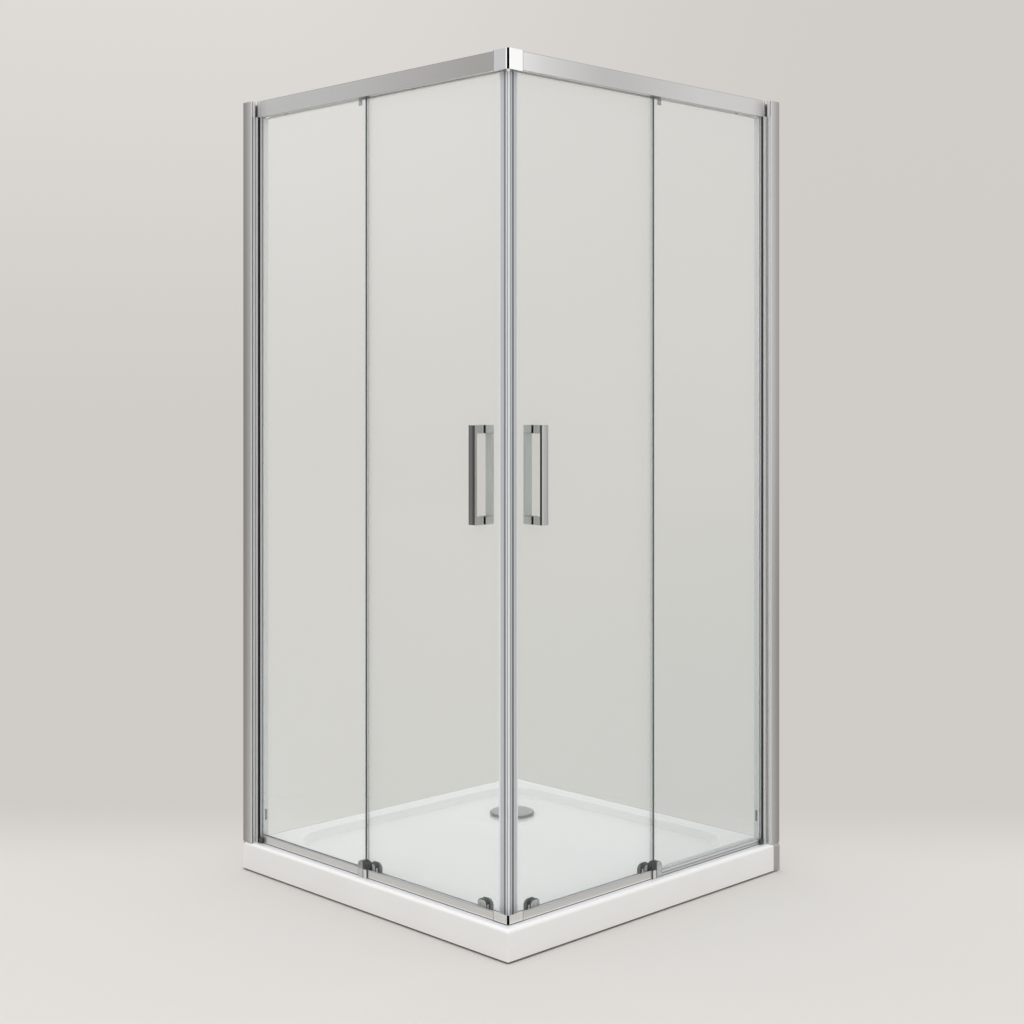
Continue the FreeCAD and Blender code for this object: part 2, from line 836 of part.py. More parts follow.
def corner_wall():
    inner = connector_face + d.connector_wall
    return [
        (square_low, square_low, d.connector_round),
        (square_high, square_low),
        (square_high, inner),
        (inner, inner, d.connector_round - d.connector_wall),
        (inner, square_high),
        (square_low, square_high),
    ]


def tongues(front, back):
    """Two tongues, one along each side, as one L from inside the cap's corner."""
    root = connector_face + d.connector_wall / 2
    tip = rail_start + d.tongue_length
    along_right = rectangle((root, front), (tip, back))
    along_left = rectangle((front, root), (back, tip))
    return along_right, along_left


def build_top_connector():
    body = new_body("top_corner_connector")
    low = rail_bottom - d.connector_drop
    pad(body, "faces", "XY_Plane", [corner_wall()], panel_top - low, offset=(0, 0, low))
    lid_low = panel_top - d.connector_wall
    lid = rectangle((square_low, square_low), (square_high, square_high))
    lid[0] = lid[0] + (d.connector_round,)
    pad(body, "lid", "XY_Plane", [lid], d.connector_wall, offset=(0, 0, lid_low))
    front = groove_front + d.tongue_clearance
    back = groove_back - d.tongue_clearance
    tongue_low = rail_bottom + d.rail_wall
    tongue_high = rail_top - d.rail_wall - d.tongue_clearance
    for name, tongue in zip(("right_tongue", "left_tongue"), tongues(front, back)):
        pad(body, name, "XY_Plane", [tongue], tongue_high - tongue_low, offset=(0, 0, tongue_low))
    depth = back - front
    hole = ((tongue_screw_place, top_screw_level), d.screw_radius)
    pocket(body, "right_hole", "XZ_Plane", [], depth, offset=(0, 0, -front), circles=[hole])
    pocket(body, "left_hole", "YZ_Plane", [], depth, offset=(0, 0, back), circles=[hole])
    place_at_corner(body)
    keep(body, "top_corner_connector")


def build_bottom_connector():
    body = new_body("bottom_corner_connector")
    high = bottom_rail_top + d.connector_proud
    pad(body, "faces", "XY_Plane", [corner_wall()], high - tray_top, offset=(0, 0, tray_top))
    plate = rectangle((square_low, square_low), (square_high, square_high))
    plate[0] = plate[0] + (d.connector_round,)
    pad(body, "plate", "XY_Plane", [plate], d.bottom_rail_floor, offset=(0, 0, tray_top))
    front = groove_front + d.tongue_clearance
    for name, tongue in zip(("right_tongue", "left_tongue"), tongues(front, front + d.bottom_tongue_width)):
        pad(body, name, "XY_Plane", [tongue], d.bottom_tongue_height, offset=(0, 0, base_top))
    place_at_corner(body)
    keep(body, "bottom_corner_connector")


# Wall profile and side post: the post slides in the profile to take up an uneven wall, and holds the pane.

wall_holes_low = tray_top + d.wall_hole_end_distance
wall_profile_top = panel_top - d.wall_profile_drop
wall_hole_spread = wall_profile_top - d.wall_hole_end_distance - wall_holes_low
post_screw_place = (wall_mouth + d.tray_side) / 2
post_screws_low = tray_top + d.screw_end_distance
post_screws_high = rail_bottom - d.screw_end_distance
profile_lip_back = post_back + d.post_clearance + d.wall_profile_wall


def build_wall_profile():
    body = new_body("wall_profile")
    wall = d.wall_profile_wall
    outer = d.wall_profile_setback
    section = [
        (wall_mouth, outer, d.wall_profile_round),
        (d.tray_side, outer),
        (d.tray_side, profile_lip_back),
        (d.tray_side - d.wall_profile_lip, profile_lip_back),
        (d.tray_side - d.wall_profile_lip, profile_lip_back - wall),
        (d.tray_side - wall, profile_lip_back - wall),
        (d.tray_side - wall, beam_back),
        (wall_mouth, beam_back, d.wall_profile_round),
    ]
    chamber = rectangle((wall_mouth + wall, outer + wall), (d.tray_side - wall, beam_back - wall), wall)
    height = wall_profile_top - tray_top
    pad(body, "extrusion", "XY_Plane", [section, chamber], height, offset=(0, 0, tray_top))
    middle = (beam_back + profile_lip_back) / 2
    hole = ((middle, wall_holes_low), d.wall_hole_radius)
    cut = pocket(body, "wall_hole", "YZ_Plane", [], wall, offset=(0, 0, d.tray_side), circles=[hole])
    repeat(body, cut, "Z_Axis", wall_hole_spread)
    screw = ((post_screw_place, post_screws_low), d.screw_radius)
    lip = pocket(body, "lip_hole", "XZ_Plane", [], wall, (0, 0, -profile_lip_back), [screw], Reversed=True)
    repeat(body, lip, "Z_Axis", post_screws_high - post_screws_low, 3)
    both_sides(body, "wall_profile")


def build_side_post():
    body = new_body("side_post")
    wall = d.post_wall
    groove_low = pane_face - d.gasket_thickness
    groove_high = pane_back + d.gasket_thickness
    groove_end = post_mouth + d.post_groove_depth
    section = [
        (post_mouth, post_face, wall),
        (post_end, post_face),
        (post_end, post_back),
        (post_mouth, post_back, wall),
        (post_mouth, groove_high),
        (groove_end, groove_high),
        (groove_end, groove_low),
        (post_mouth, groove_low),
    ]
    inner_chamber = rectangle((post_mouth + wall, groove_high + wall), (post_end - wall, post_back - wall))
    outer_chamber = rectangle((post_mouth + wall, post_face + wall), (post_end - wall, groove_low - wall))
    back_chamber = rectangle((groove_end + wall, groove_low), (post_end - wall, groove_high))
    loops = [section, inner_chamber, outer_chamber, back_chamber]
    pad(body, "extrusion", "XY_Plane", loops, rail_bottom - tray_top, offset=(0, 0, tray_top))
    slot_low = tray_top + d.post_slot_height
    slot_middle = (groove_high + wall + post_back - wall) / 2
    slot_half = d.post_slot_width / 2
    slot_high = slot_low + d.post_slot_length
    slot = rectangle((slot_middle - slot_half, slot_low), (slot_middle + slot_half, slot_high), slot_half / 2)
    pocket(body, "slot", "YZ_Plane", [slot], wall, offset=(0, 0, post_mouth), Reversed=True)
    screw = ((post_screw_place, post_screws_low), d.screw_radius)
    hole = pocket(body, "screw_hole", "XZ_Plane", [], wall, (0, 0, -post_back), [screw], Reversed=True)
    repeat(body, hole, "Z_Axis", post_screws_high - post_screws_low, 3)
    both_sides(body, "side_post")


# Fixed pane and what holds it: a gasket in the post, clips at its free edge and a seal towards the door.

def long_edge_at(place, level):
    """Tells the upright edges of a pane that stand at one place along its side."""
    def chosen(edge):
        box = edge.BoundBox
        return box.ZLength > level.value and abs(box.Center.x - place.value) < box.ZLength / 1e6
    return chosen


def build_fixed_pane():
    body = new_body("fixed_pane")
    sheet = rectangle((pane_edge, pane_face), (post_mouth + d.pane_entry, pane_back))
    height = rail_bottom + d.pane_top_entry - pane_floor
    pad(body, "sheet", "XY_Plane", [sheet], height, offset=(0, 0, pane_floor))
    round_edges(body, "bevel", d.glass_chamfer, long_edge_at(pane_edge, tray_top), "Chamfer")
    both_sides(body, "fixed_pane")


def build_pane_gasket():
    body = new_body("pane_gasket")
    tip = post_mouth - d.gasket_lip
    foot = post_mouth + d.pane_entry
    outer_face = pane_face - d.gasket_thickness
    inner_face = pane_back + d.gasket_thickness
    outer = [
        (tip, outer_face - d.gasket_lip),
        (post_mouth, outer_face - d.gasket_lip),
        (post_mouth, outer_face),
        (foot, outer_face),
        (foot, pane_face),
        (tip, pane_face),
    ]
    inner = rectangle((tip, pane_back), (foot, inner_face))
    pad(body, "strips", "XY_Plane", [outer, inner], rail_bottom - base_top, offset=(0, 0, base_top))
    both_sides(body, "pane_gasket")


def build_pane_clip():
    body = new_body("pane_clip")
    outer_face = pane_face - d.clip_plate
    inner_face = pane_back + d.clip_inner_plate
    outer = rectangle((clip_start, outer_face), (clip_end, pane_face))
    inner = rectangle((clip_start - d.clip_lead, pane_back), (clip_end, inner_face))
    bridge = rectangle((clip_start, pane_face), (pane_edge, pane_back))
    pad(body, "outer_leg", "XY_Plane", [outer], d.clip_height, offset=(0, 0, tray_top))
    pad(body, "bridge", "XY_Plane", [bridge], d.clip_inner_height, offset=(0, 0, base_top))
    pad(body, "inner_leg", "XY_Plane", [inner], d.clip_inner_height, offset=(0, 0, base_top))

    def on_top(edge):
        box = edge.BoundBox
        high = box.ZMin > (tray_top + d.clip_inner_height).value
        across = box.YLength > d.clip_plate.value / 2 and box.XLength < box.YLength / 1e3
        return high and across and box.Center.x > pane_edge.value

    round_edges(body, "shoulders", d.clip_round, on_top)
    both_sides(body, "pane_clip")


def build_top_clips():
    body = new_body("top_clip")
    start = pane_edge - d.top_clip_lead
    end = start + d.top_clip_length
    outer_face = pane_face - d.top_clip_plate
    inner_face = pane_back + d.top_clip_plate
    outline = [
        (start, outer_face),
        (end, outer_face),
        (end, pane_face),
        (pane_edge, pane_face),
        (pane_edge, pane_back),
        (end, pane_back),
        (end, inner_face),
        (start, inner_face),
    ]
    pad(body, "bar", "XY_Plane", [outline], d.top_clip_bar, offset=(0, 0, rail_bottom - d.top_clip_bar))
    leg = rectangle((end - d.top_clip_leg, outer_face), (end, pane_face))
    pad(body, "leg", "XY_Plane", [leg], d.top_clip_drop, offset=(0, 0, rail_bottom - d.top_clip_drop))
    both_sides_in_one(body, "top_clips")


def build_pane_edge_seal():
    body = new_body("pane_edge_seal")
    wall = d.edge_seal_wall
    cover_end = pane_edge + d.edge_seal_cover
    nose = pane_edge - d.edge_seal_nose
    lip_end = pane_back + wall + d.edge_seal_lip
    outline = [
        (nose, pane_face - wall),
        (cover_end, pane_face - wall),
        (cover_end, pane_face),
        (pane_edge, pane_face),
        (pane_edge, pane_back),
        (cover_end, pane_back),
        (cover_end, pane_back + wall),
        (pane_edge, pane_back + wall),
        (nose - wall / 2, lip_end),
        (nose - wall / 2 - d.edge_seal_lip_wall, lip_end),
        (nose, pane_back + wall),
    ]
    height = rail_bottom - d.top_clip_bar - clip_top
    pad(body, "profile", "XY_Plane", [outline], height, offset=(0, 0, clip_top))
    both_sides(body, "pane_edge_seal")


def build_foot_blocks():
    body = new_body("foot_block")
    end = post_mouth - d.gasket_lip
    outline = rectangle((end - d.foot_block_width, rail_face - d.foot_block_depth), (end, rail_face))
    pad(body, "block", "XY_Plane", [outline], d.foot_block_height, offset=(0, 0, tray_top))
    both_sides_in_one(body, "foot_blocks")


def build_screws():
    """Pan-head screws: one through each rail into the corner connector, three through each wall profile."""
    body = new_body("frame_screw")
    spread = post_screws_high - post_screws_low
    post_spots = [(post_screw_place, post_screws_low + spread * share) for share in SCREW_SHARES]
    rows = (
        ("rail", channel_front, [(tongue_screw_place, top_screw_level)]),
        ("post", profile_lip_back, post_spots),
    )
    for name, seat, spots in rows:
        offset = (0, 0, -seat)
        heads = [(spot, d.screw_head_radius) for spot in spots]
        shanks = [(spot, d.screw_radius) for spot in spots]
        pad(body, f"{name}_heads", "XZ_Plane", [], d.screw_head_height, offset, heads, Reversed=True)
        pad(body, f"{name}_shanks", "XZ_Plane", [], d.screw_length, offset, shanks)

    def head_rim(edge):
        box = edge.BoundBox
        flat = box.YLength < box.XLength / 1e3
        tops = (channel_front + d.screw_head_height, profile_lip_back + d.screw_head_height)
        return flat and any(abs(box.YMin - top.value) < box.XLength / 1e3 for top in tops)

    round_edges(body, "pan", d.screw_head_height / 2, head_rim, "Chamfer")
    both_sides_in_one(body, "frame_screws")


def build_stops():
    body = new_body("door_stop")
    start = rear_fitting + door_travel + d.wheel_radius + d.stop_gap
    outline = rectangle((start, channel_back - d.stop_depth), (start + d.stop_length, channel_back))
    pad(body, "block", "XY_Plane", [outline], d.stop_height, offset=(0, 0, ledge_top))
    both_sides_in_one(body, "door_stops")


# Sliding doors. Every piece of a door is drawn with the door closed.

def build_door_glass():
    body = new_body("door_glass")
    sheet = rectangle((door_lead, door_face), (door_rear, door_back))
    pad(body, "sheet", "XY_Plane", [sheet], door_top - door_bottom, offset=(0, 0, door_bottom))
    bolt_hole = d.handle_bolt_radius + d.bolt_clearance
    stud_hole = d.guide_stud_radius + d.bolt_clearance
    circles = [((place, wheel_height), d.glass_hole_radius) for place in fitting_places]
    circles += [((place, guide_stud_level), stud_hole) for place in fitting_places]
    circles += [((d.handle_place, level), bolt_hole) for level in handle_levels]
    pocket(body, "holes", "XZ_Plane", [], d.glass, offset=(0, 0, -door_face), circles=circles)
    round_edges(body, "lead_bevel", d.glass_chamfer, long_edge_at(door_lead, tray_top), "Chamfer")
    round_edges(body, "rear_bevel", d.glass_chamfer, long_edge_at(door_rear, tray_top), "Chamfer")
    both_sides(body, "door_glass")


# Magnetic seals meet on the enclosure's diagonal, so each mating face stands at half a right angle.

seal_low = door_bottom + d.magnet_seal_shoulder
seal_high = rail_bottom - d.seal_end_gap
seal_face_front = door_middle - d.magnet_seal_half_face
seal_face_back = door_middle + d.magnet_seal_half_face


def build_magnetic_seal():
    body = new_body("magnetic_seal")
    wall = d.magnet_seal_wall
    shoulder = d.magnet_seal_shoulder
    cover_end = door_lead + d.magnet_seal_cover
    front = door_face - wall
    back = door_back + wall
    outline = [
        (seal_face_front + d.magnet_gap, seal_face_front),
        (seal_face_back + d.magnet_gap, seal_face_back),
        (door_lead - shoulder, seal_face_back),
        (door_lead + shoulder, back),
        (cover_end, back),
        (cover_end, door_back),
        (door_lead, door_back),
        (door_lead, door_face),
        (cover_end, door_face),
        (cover_end, front),
        (door_lead - shoulder, front),
        (seal_face_front + d.magnet_gap + d.magnet_seal_half_face, seal_face_front),
    ]
    loops = [outline, magnet_outline()]
    pad(body, "profile", "XY_Plane", loops, seal_high - seal_low, offset=(0, 0, seal_low))
    both_sides(body, "magnetic_seal")


def magnet_outline():
    """The magnet's place behind the mating face, half way along it."""
    half_width = d.magnet_width * HALF_DIAGONAL / 2
    near = d.magnet_skin * HALF_DIAGONAL
    far = near + d.magnet_thickness * HALF_DIAGONAL
    middle = door_middle + d.magnet_gap
    return [
        (middle + near - half_width, door_middle - near - half_width),
        (middle + far - half_width, door_middle - far - half_width),
        (middle + far + half_width, door_middle - far + half_width),
        (middle + near + half_width, door_middle - near + half_width),
    ]


def build_magnet():
    body = new_body("magnet_strip")
    pad(body, "strip", "XY_Plane", [magnet_outline()], seal_high - seal_low, offset=(0, 0, seal_low))
    both_sides(body, "magnet_strip")


def build_rear_seal():
    body = new_body("rear_seal")
    wall = d.edge_seal_wall
    start = door_rear - d.rear_seal_cover
    lip_front = door_face - d.edge_seal_lip - wall / 2
    lip_wall = d.edge_seal_lip_wall
    outline = [
        (start, door_face - wall),
        (door_rear, door_face - wall),
        (door_rear + wall, lip_front),
        (door_rear + wall + lip_wall, lip_front),
        (door_rear + wall, door_face - wall / 2),
        (door_rear + wall, door_back + wall),
        (start, door_back + wall),
        (start, door_back),
        (door_rear, door_back),
        (door_rear, door_face),
        (start, door_face),
    ]
    pad(body, "profile", "XY_Plane", [outline], seal_high - door_bottom, offset=(0, 0, door_bottom))
    both_sides(body, "rear_seal")


# Handles: a flat C on each face of the glass, drawn together by two bolts through gaskets.

def build_handle(name, root, side):
    """One C-shaped handle: its arms start at the root and its bar stands off inward or outward."""
    body = new_body(name)
    tip = root + d.handle_reach * side
    bar = tip - d.handle_bar * side
    outline = [
        (root, handle_low),
        (tip, handle_low, d.handle_round),
        (tip, handle_high, d.handle_round),
        (root, handle_high),
        (root, handle_high - d.handle_arm),
        (bar, handle_high - d.handle_arm),
        (bar, handle_low + d.handle_arm),
        (root, handle_low + d.handle_arm),
    ]
    pad(body, "bar", "YZ_Plane", [outline], d.handle_width, offset=(0, 0, handle_start))
    circles = [((d.handle_place, level), d.handle_bolt_radius) for level in handle_levels]
    away = side == OUTWARD
    pocket(body, "bolt_holes", "XZ_Plane", [], d.handle_bolt_entry, (0, 0, -root), circles, Reversed=away)
    both_sides(body, name)


def build_handle_gaskets():
    body = new_body("handle_gaskets")
    levels = (handle_low, handle_high - d.handle_arm)
    end = handle_start + d.handle_width
    loops = [rectangle((handle_start, low), (end, low + d.handle_arm)) for low in levels]
    circles = [((d.handle_place, level), d.handle_bolt_radius) for level in handle_levels]
    outer = (0, 0, -(door_face - d.handle_gasket))
    inner = (0, 0, -door_back)
    pad(body, "outer_pads", "XZ_Plane", loops, d.handle_gasket, outer, circles, Reversed=True)
    pad(body, "inner_pads", "XZ_Plane", loops, d.handle_gasket, inner, circles, Reversed=True)
    both_sides(body, "handle_gaskets")


def build_handle_bolts():
    body = new_body("handle_bolts")
    start = door_face - d.handle_gasket - d.handle_bolt_entry
    end = door_back + d.handle_gasket + d.handle_bolt_entry
    circles = [((d.handle_place, level), d.handle_bolt_radius) for level in handle_levels]
    pad(body, "bolts", "XZ_Plane", [], end - start, (0, 0, -start), circles, Reversed=True)
    both_sides(body, "handle_bolts")


# Hangers: an axle through the glass carries a grooved wheel, closed by a cap on the outer face.

def discs_at_fittings(body, name, radius, start, end, level):
    circles = [((place, level), radius) for place in fitting_places]
    return pad(body, name, "XZ_Plane", [], end - start, (0, 0, -start), circles, Reversed=True)


def build_axles():
    body = new_body("roller_axles")
    collar_end = door_back + d.axle_collar
    wheel_end = wheel_back + d.axle_side_gap
    sleeve = d.glass_hole_radius - d.axle_sleeve_gap
    discs_at_fittings(body, "stubs", d.axle_radius, door_face - d.axle_stub, door_face, wheel_height)
    discs_at_fittings(body, "sleeves", sleeve, door_face, door_back, wheel_height)
    discs_at_fittings(body, "collars", d.axle_collar_radius, door_back, collar_end, wheel_height)
    discs_at_fittings(body, "shafts", d.axle_radius, collar_end, wheel_end, wheel_height)
    discs_at_fittings(body, "clips", d.axle_clip_radius, wheel_end, wheel_end + d.axle_clip, wheel_height)
    both_sides(body, "roller_axles")


def build_roller_caps():
    body = new_body("roller_caps")
    outer = door_face - d.roller_cap_thickness
    discs_at_fittings(body, "caps", d.roller_cap_radius, outer, door_face, wheel_height)

    def outer_rim(edge):
        box = edge.BoundBox
        return box.YLength < box.XLength / 1e3 and abs(box.YMin - outer.value) < box.XLength / 1e3

    round_edges(body, "cap_bevel", d.roller_cap_bevel, outer_rim, "Chamfer")
    circles = [((place, wheel_height), d.axle_radius) for place in fitting_places]
    cut = pocket(body, "stub_holes", "XZ_Plane", [], d.axle_stub, (0, 0, -door_face), circles)
    cut.Reversed = True
    both_sides(body, "roller_caps")


def build_wheel(name, place):
    """A grooved wheel turned about its axle, which runs across the rail."""
    body = new_body(name)
    bore = d.axle_radius + d.wheel_bore_clearance
    throat = d.wheel_groove_width / 2
    flare = throat + (d.wheel_radius - d.wheel_groove_radius) / 2
    outline = [
        (wheel_front, bore),
        (wheel_back, bore),
        (wheel_back, d.wheel_radius),
        (wheel_middle + flare, d.wheel_radius),
        (wheel_middle + throat, d.wheel_groove_radius),
        (wheel_middle - throat, d.wheel_groove_radius),
        (wheel_middle - flare, d.wheel_radius),
        (wheel_front, d.wheel_radius),
    ]
    sketch = new_sketch(body, f"{name}_outline", "YZ_Plane", (0, wheel_height, place))
    draw_loop(sketch, outline)
    feature(body, "Revolution", f"{name}_turn", sketch, ReferenceAxis=(sketch, ["H_Axis"]), Angle=360.0)
    both_sides(body, name)


# Bottom guides: a cap outside the glass and a block inside it, whose tongue runs between the rail's ribs.

def build_guide_caps():
    body = new_body("guide_caps")
    outer = door_face - d.guide_cap_thickness
    half = d.guide_width / 2
    top = door_bottom + d.guide_height
    loops = [guide_front(place, half, door_bottom, top) for place in fitting_places]
    pad(body, "caps", "XZ_Plane", loops, d.guide_cap_thickness, (0, 0, -outer), Reversed=True)
    end = door_back + d.guide_stud_entry
    discs_at_fittings(body, "studs", d.guide_stud_radius, door_face, end, guide_stud_level)
    both_sides(body, "guide_caps")


def guide_front(place, half, low, high):
    return [
        (place - half, low),
        (place + half, low),
        (place + half, high, d.guide_round),
        (place - half, high, d.guide_round),
    ]


def build_guide_blocks():
    body = new_body("guide_blocks")
    half = d.guide_width / 2
    low = door_bottom + d.guide_block_lift
    top = door_bottom + d.guide_height
    loops = [guide_front(place, half, low, top) for place in fitting_places]
    pad(body, "blocks", "XZ_Plane", loops, d.guide_block_thickness, (0, 0, -door_back), Reversed=True)
    circles = [((place, guide_stud_level), d.guide_stud_radius) for place in fitting_places]
    pocket(body, "stud_holes", "XZ_Plane", [], d.guide_stud_entry, (0, 0, -door_back), circles)
    tongue_half = half - d.guide_tongue_inset
    front = guide_middle - d.guide_tongue / 2
    back = guide_middle + d.guide_tongue / 2
    tongue_low = rib_top - d.guide_tongue_entry
    loops = [rectangle((place - tongue_half, front), (place + tongue_half, back)) for place in fitting_places]
    pad(body, "tongues", "XY_Plane", loops, low - tongue_low, (0, 0, tongue_low))
    both_sides(body, "guide_blocks")


build_tray()
build_trim()
build_board()
build_feet()
build_waste_cover()
build_waste_body()
build_waste_gasket()
build_waste_nut()
build_top_rail()
build_bottom_rail()
build_sills()
build_top_connector()
build_bottom_connector()
build_wall_profile()
build_side_post()
build_fixed_pane()
build_pane_gasket()
build_pane_clip()
build_top_clips()
build_pane_edge_seal()
build_foot_blocks()
build_screws()
build_stops()
build_door_glass()
build_magnetic_seal()
build_magnet()
build_rear_seal()
build_handle("handle_outer", door_face - d.handle_gasket, OUTWARD)
build_handle("handle_inner", door_back + d.handle_gasket, INWARD)
build_handle_gaskets()
build_handle_bolts()
build_axles()
build_roller_caps()
build_wheel("front_wheel", front_fitting)
build_wheel("rear_wheel", rear_fitting)
build_guide_caps()
build_guide_blocks()

doc.recompute()
for item in doc.Objects:
    if "Invalid" in item.State or "Error" in item.State:
        raise RuntimeError(f"{item.Label} did not compute")
os.makedirs("parts", exist_ok=True)
for node in nodes:
    if node.Shape.isNull() or not node.Shape.isValid():
        raise RuntimeError(f"{node.Label} has no valid shape")
    node.Shape.exportStep(f"parts/{node.Label}.step")
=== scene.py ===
# %% [markdown]
# A corner shower enclosure, dressed for the camera.
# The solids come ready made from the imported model, in metres, with +Z up and the origin on the floor
# under the middle of the tray. The doors meet at the entry corner at +X and -Y, and the two bathroom walls
# would stand at -X and +Y. Everything here is either a finish for one of those solids or a piece that
# stands in for one of them with a softer, more detailed shape.

# %% Load the frame
import json
import math
import bmesh
import bpy
from mathutils import Matrix, Vector


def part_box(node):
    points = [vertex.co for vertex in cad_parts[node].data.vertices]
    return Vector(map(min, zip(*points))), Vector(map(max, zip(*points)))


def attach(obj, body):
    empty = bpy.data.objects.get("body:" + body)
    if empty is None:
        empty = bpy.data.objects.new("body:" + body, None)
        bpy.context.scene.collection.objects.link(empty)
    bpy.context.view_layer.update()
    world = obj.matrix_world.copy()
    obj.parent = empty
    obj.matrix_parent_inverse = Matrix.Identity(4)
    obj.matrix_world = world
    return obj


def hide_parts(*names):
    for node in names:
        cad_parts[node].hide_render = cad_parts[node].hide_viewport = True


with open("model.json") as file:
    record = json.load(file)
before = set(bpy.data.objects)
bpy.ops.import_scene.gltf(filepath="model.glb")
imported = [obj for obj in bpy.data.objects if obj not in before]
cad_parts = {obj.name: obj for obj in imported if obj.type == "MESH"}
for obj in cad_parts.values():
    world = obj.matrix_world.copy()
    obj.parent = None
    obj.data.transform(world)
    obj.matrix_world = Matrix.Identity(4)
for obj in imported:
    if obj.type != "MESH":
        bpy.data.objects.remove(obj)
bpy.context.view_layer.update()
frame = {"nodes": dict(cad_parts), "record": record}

# %% [markdown]
# The camera comes first, because every later choice is judged through it. The photograph has upright edges
# that stay upright and a horizon above the middle of the picture, which is what a level lens with a
# vertical shift gives. The two vanishing points of the rails give the direction and the focal length, and
# the tray's corner gives the place.

# %% Camera
EYE = Vector((3.0496, -2.9940, 1.265))
LOOK = Vector((-0.7133, 0.7009, 0.0))
FOCAL_PIXELS = 1621.7
PICTURE_PIXELS = 1024
HORIZON_PIXEL = 389.6
SIDE_SHIFT_PIXELS = 0.4
SENSOR_WIDTH = 36.0
FAR_CLIP = 60.0

camera_data = bpy.data.cameras.new("eye_level_camera")
camera_data.sensor_fit = "HORIZONTAL"
camera_data.sensor_width = SENSOR_WIDTH
camera_data.lens = SENSOR_WIDTH * FOCAL_PIXELS / PICTURE_PIXELS
camera_data.shift_x = SIDE_SHIFT_PIXELS / PICTURE_PIXELS
camera_data.shift_y = (HORIZON_PIXEL - PICTURE_PIXELS / 2) / PICTURE_PIXELS
camera_data.clip_end = FAR_CLIP
camera = bpy.data.objects.new("eye_level_camera", camera_data)
camera.location = EYE
camera.rotation_euler = LOOK.to_track_quat("-Z", "Y").to_euler()
bpy.context.scene.collection.objects.link(camera)
bpy.context.scene.camera = camera
print("camera: lens %.2f mm, shift %.3f" % (camera_data.lens, camera_data.shift_y))

# %% [markdown]
# Before the studio and the finishes come two tools. Shader maths is easier to read as an expression than as
# a list of nodes, so one small class wraps a socket and gives it Python's operators. An expression such as
# 1 - mask then adds its own Math nodes.

# %% A small wrapper for shader maths
class Wire:
    """A socket that can be added, multiplied and divided like a number."""

    def __init__(self, finish, socket):
        self.finish = finish
        self.socket = socket

    def _math(self, operation, *terms):
        return self.finish.node("ShaderNodeMath", {"operation": operation}, dict(enumerate(terms)))

    def __add__(self, other):
        return self._math("ADD", self, other)

    def __radd__(self, other):
        return self._math("ADD", other, self)

    def __sub__(self, other):
        return self._math("SUBTRACT", self, other)

    def __rsub__(self, other):
        return self._math("SUBTRACT", other, self)

    def __mul__(self, other):
        return self._math("MULTIPLY", self, other)

    def __rmul__(self, other):
        return self._math("MULTIPLY", other, self)

    def __truediv__(self, other):
        return self._math("DIVIDE", self, other)

    def __abs__(self):
        return self._math("ABSOLUTE", self)

    def smooth_between(self, low, high):
        """0 below low, 1 above high, and a soft ramp between them."""
        settings = {"interpolation_type": "SMOOTHSTEP"}
        inputs = {"Value": self, "From Min": low, "From Max": high}
        return self.finish.node("ShaderNodeMapRange", settings, inputs)

    def fade_between(self, low, high):
        """The same ramp turned over: 1 below low and 0 above high."""
        return 1 - self.smooth_between(low, high)


print("tool: Wire, a socket with operators")

# %% [markdown]
# The second tool holds the node tree of one material, or of the world. One method adds any node: its settings
# come first, because some of them change which sockets it has, and then the values or wires of its sockets.
# The short methods after it are the few nodes that nearly every finish here uses.

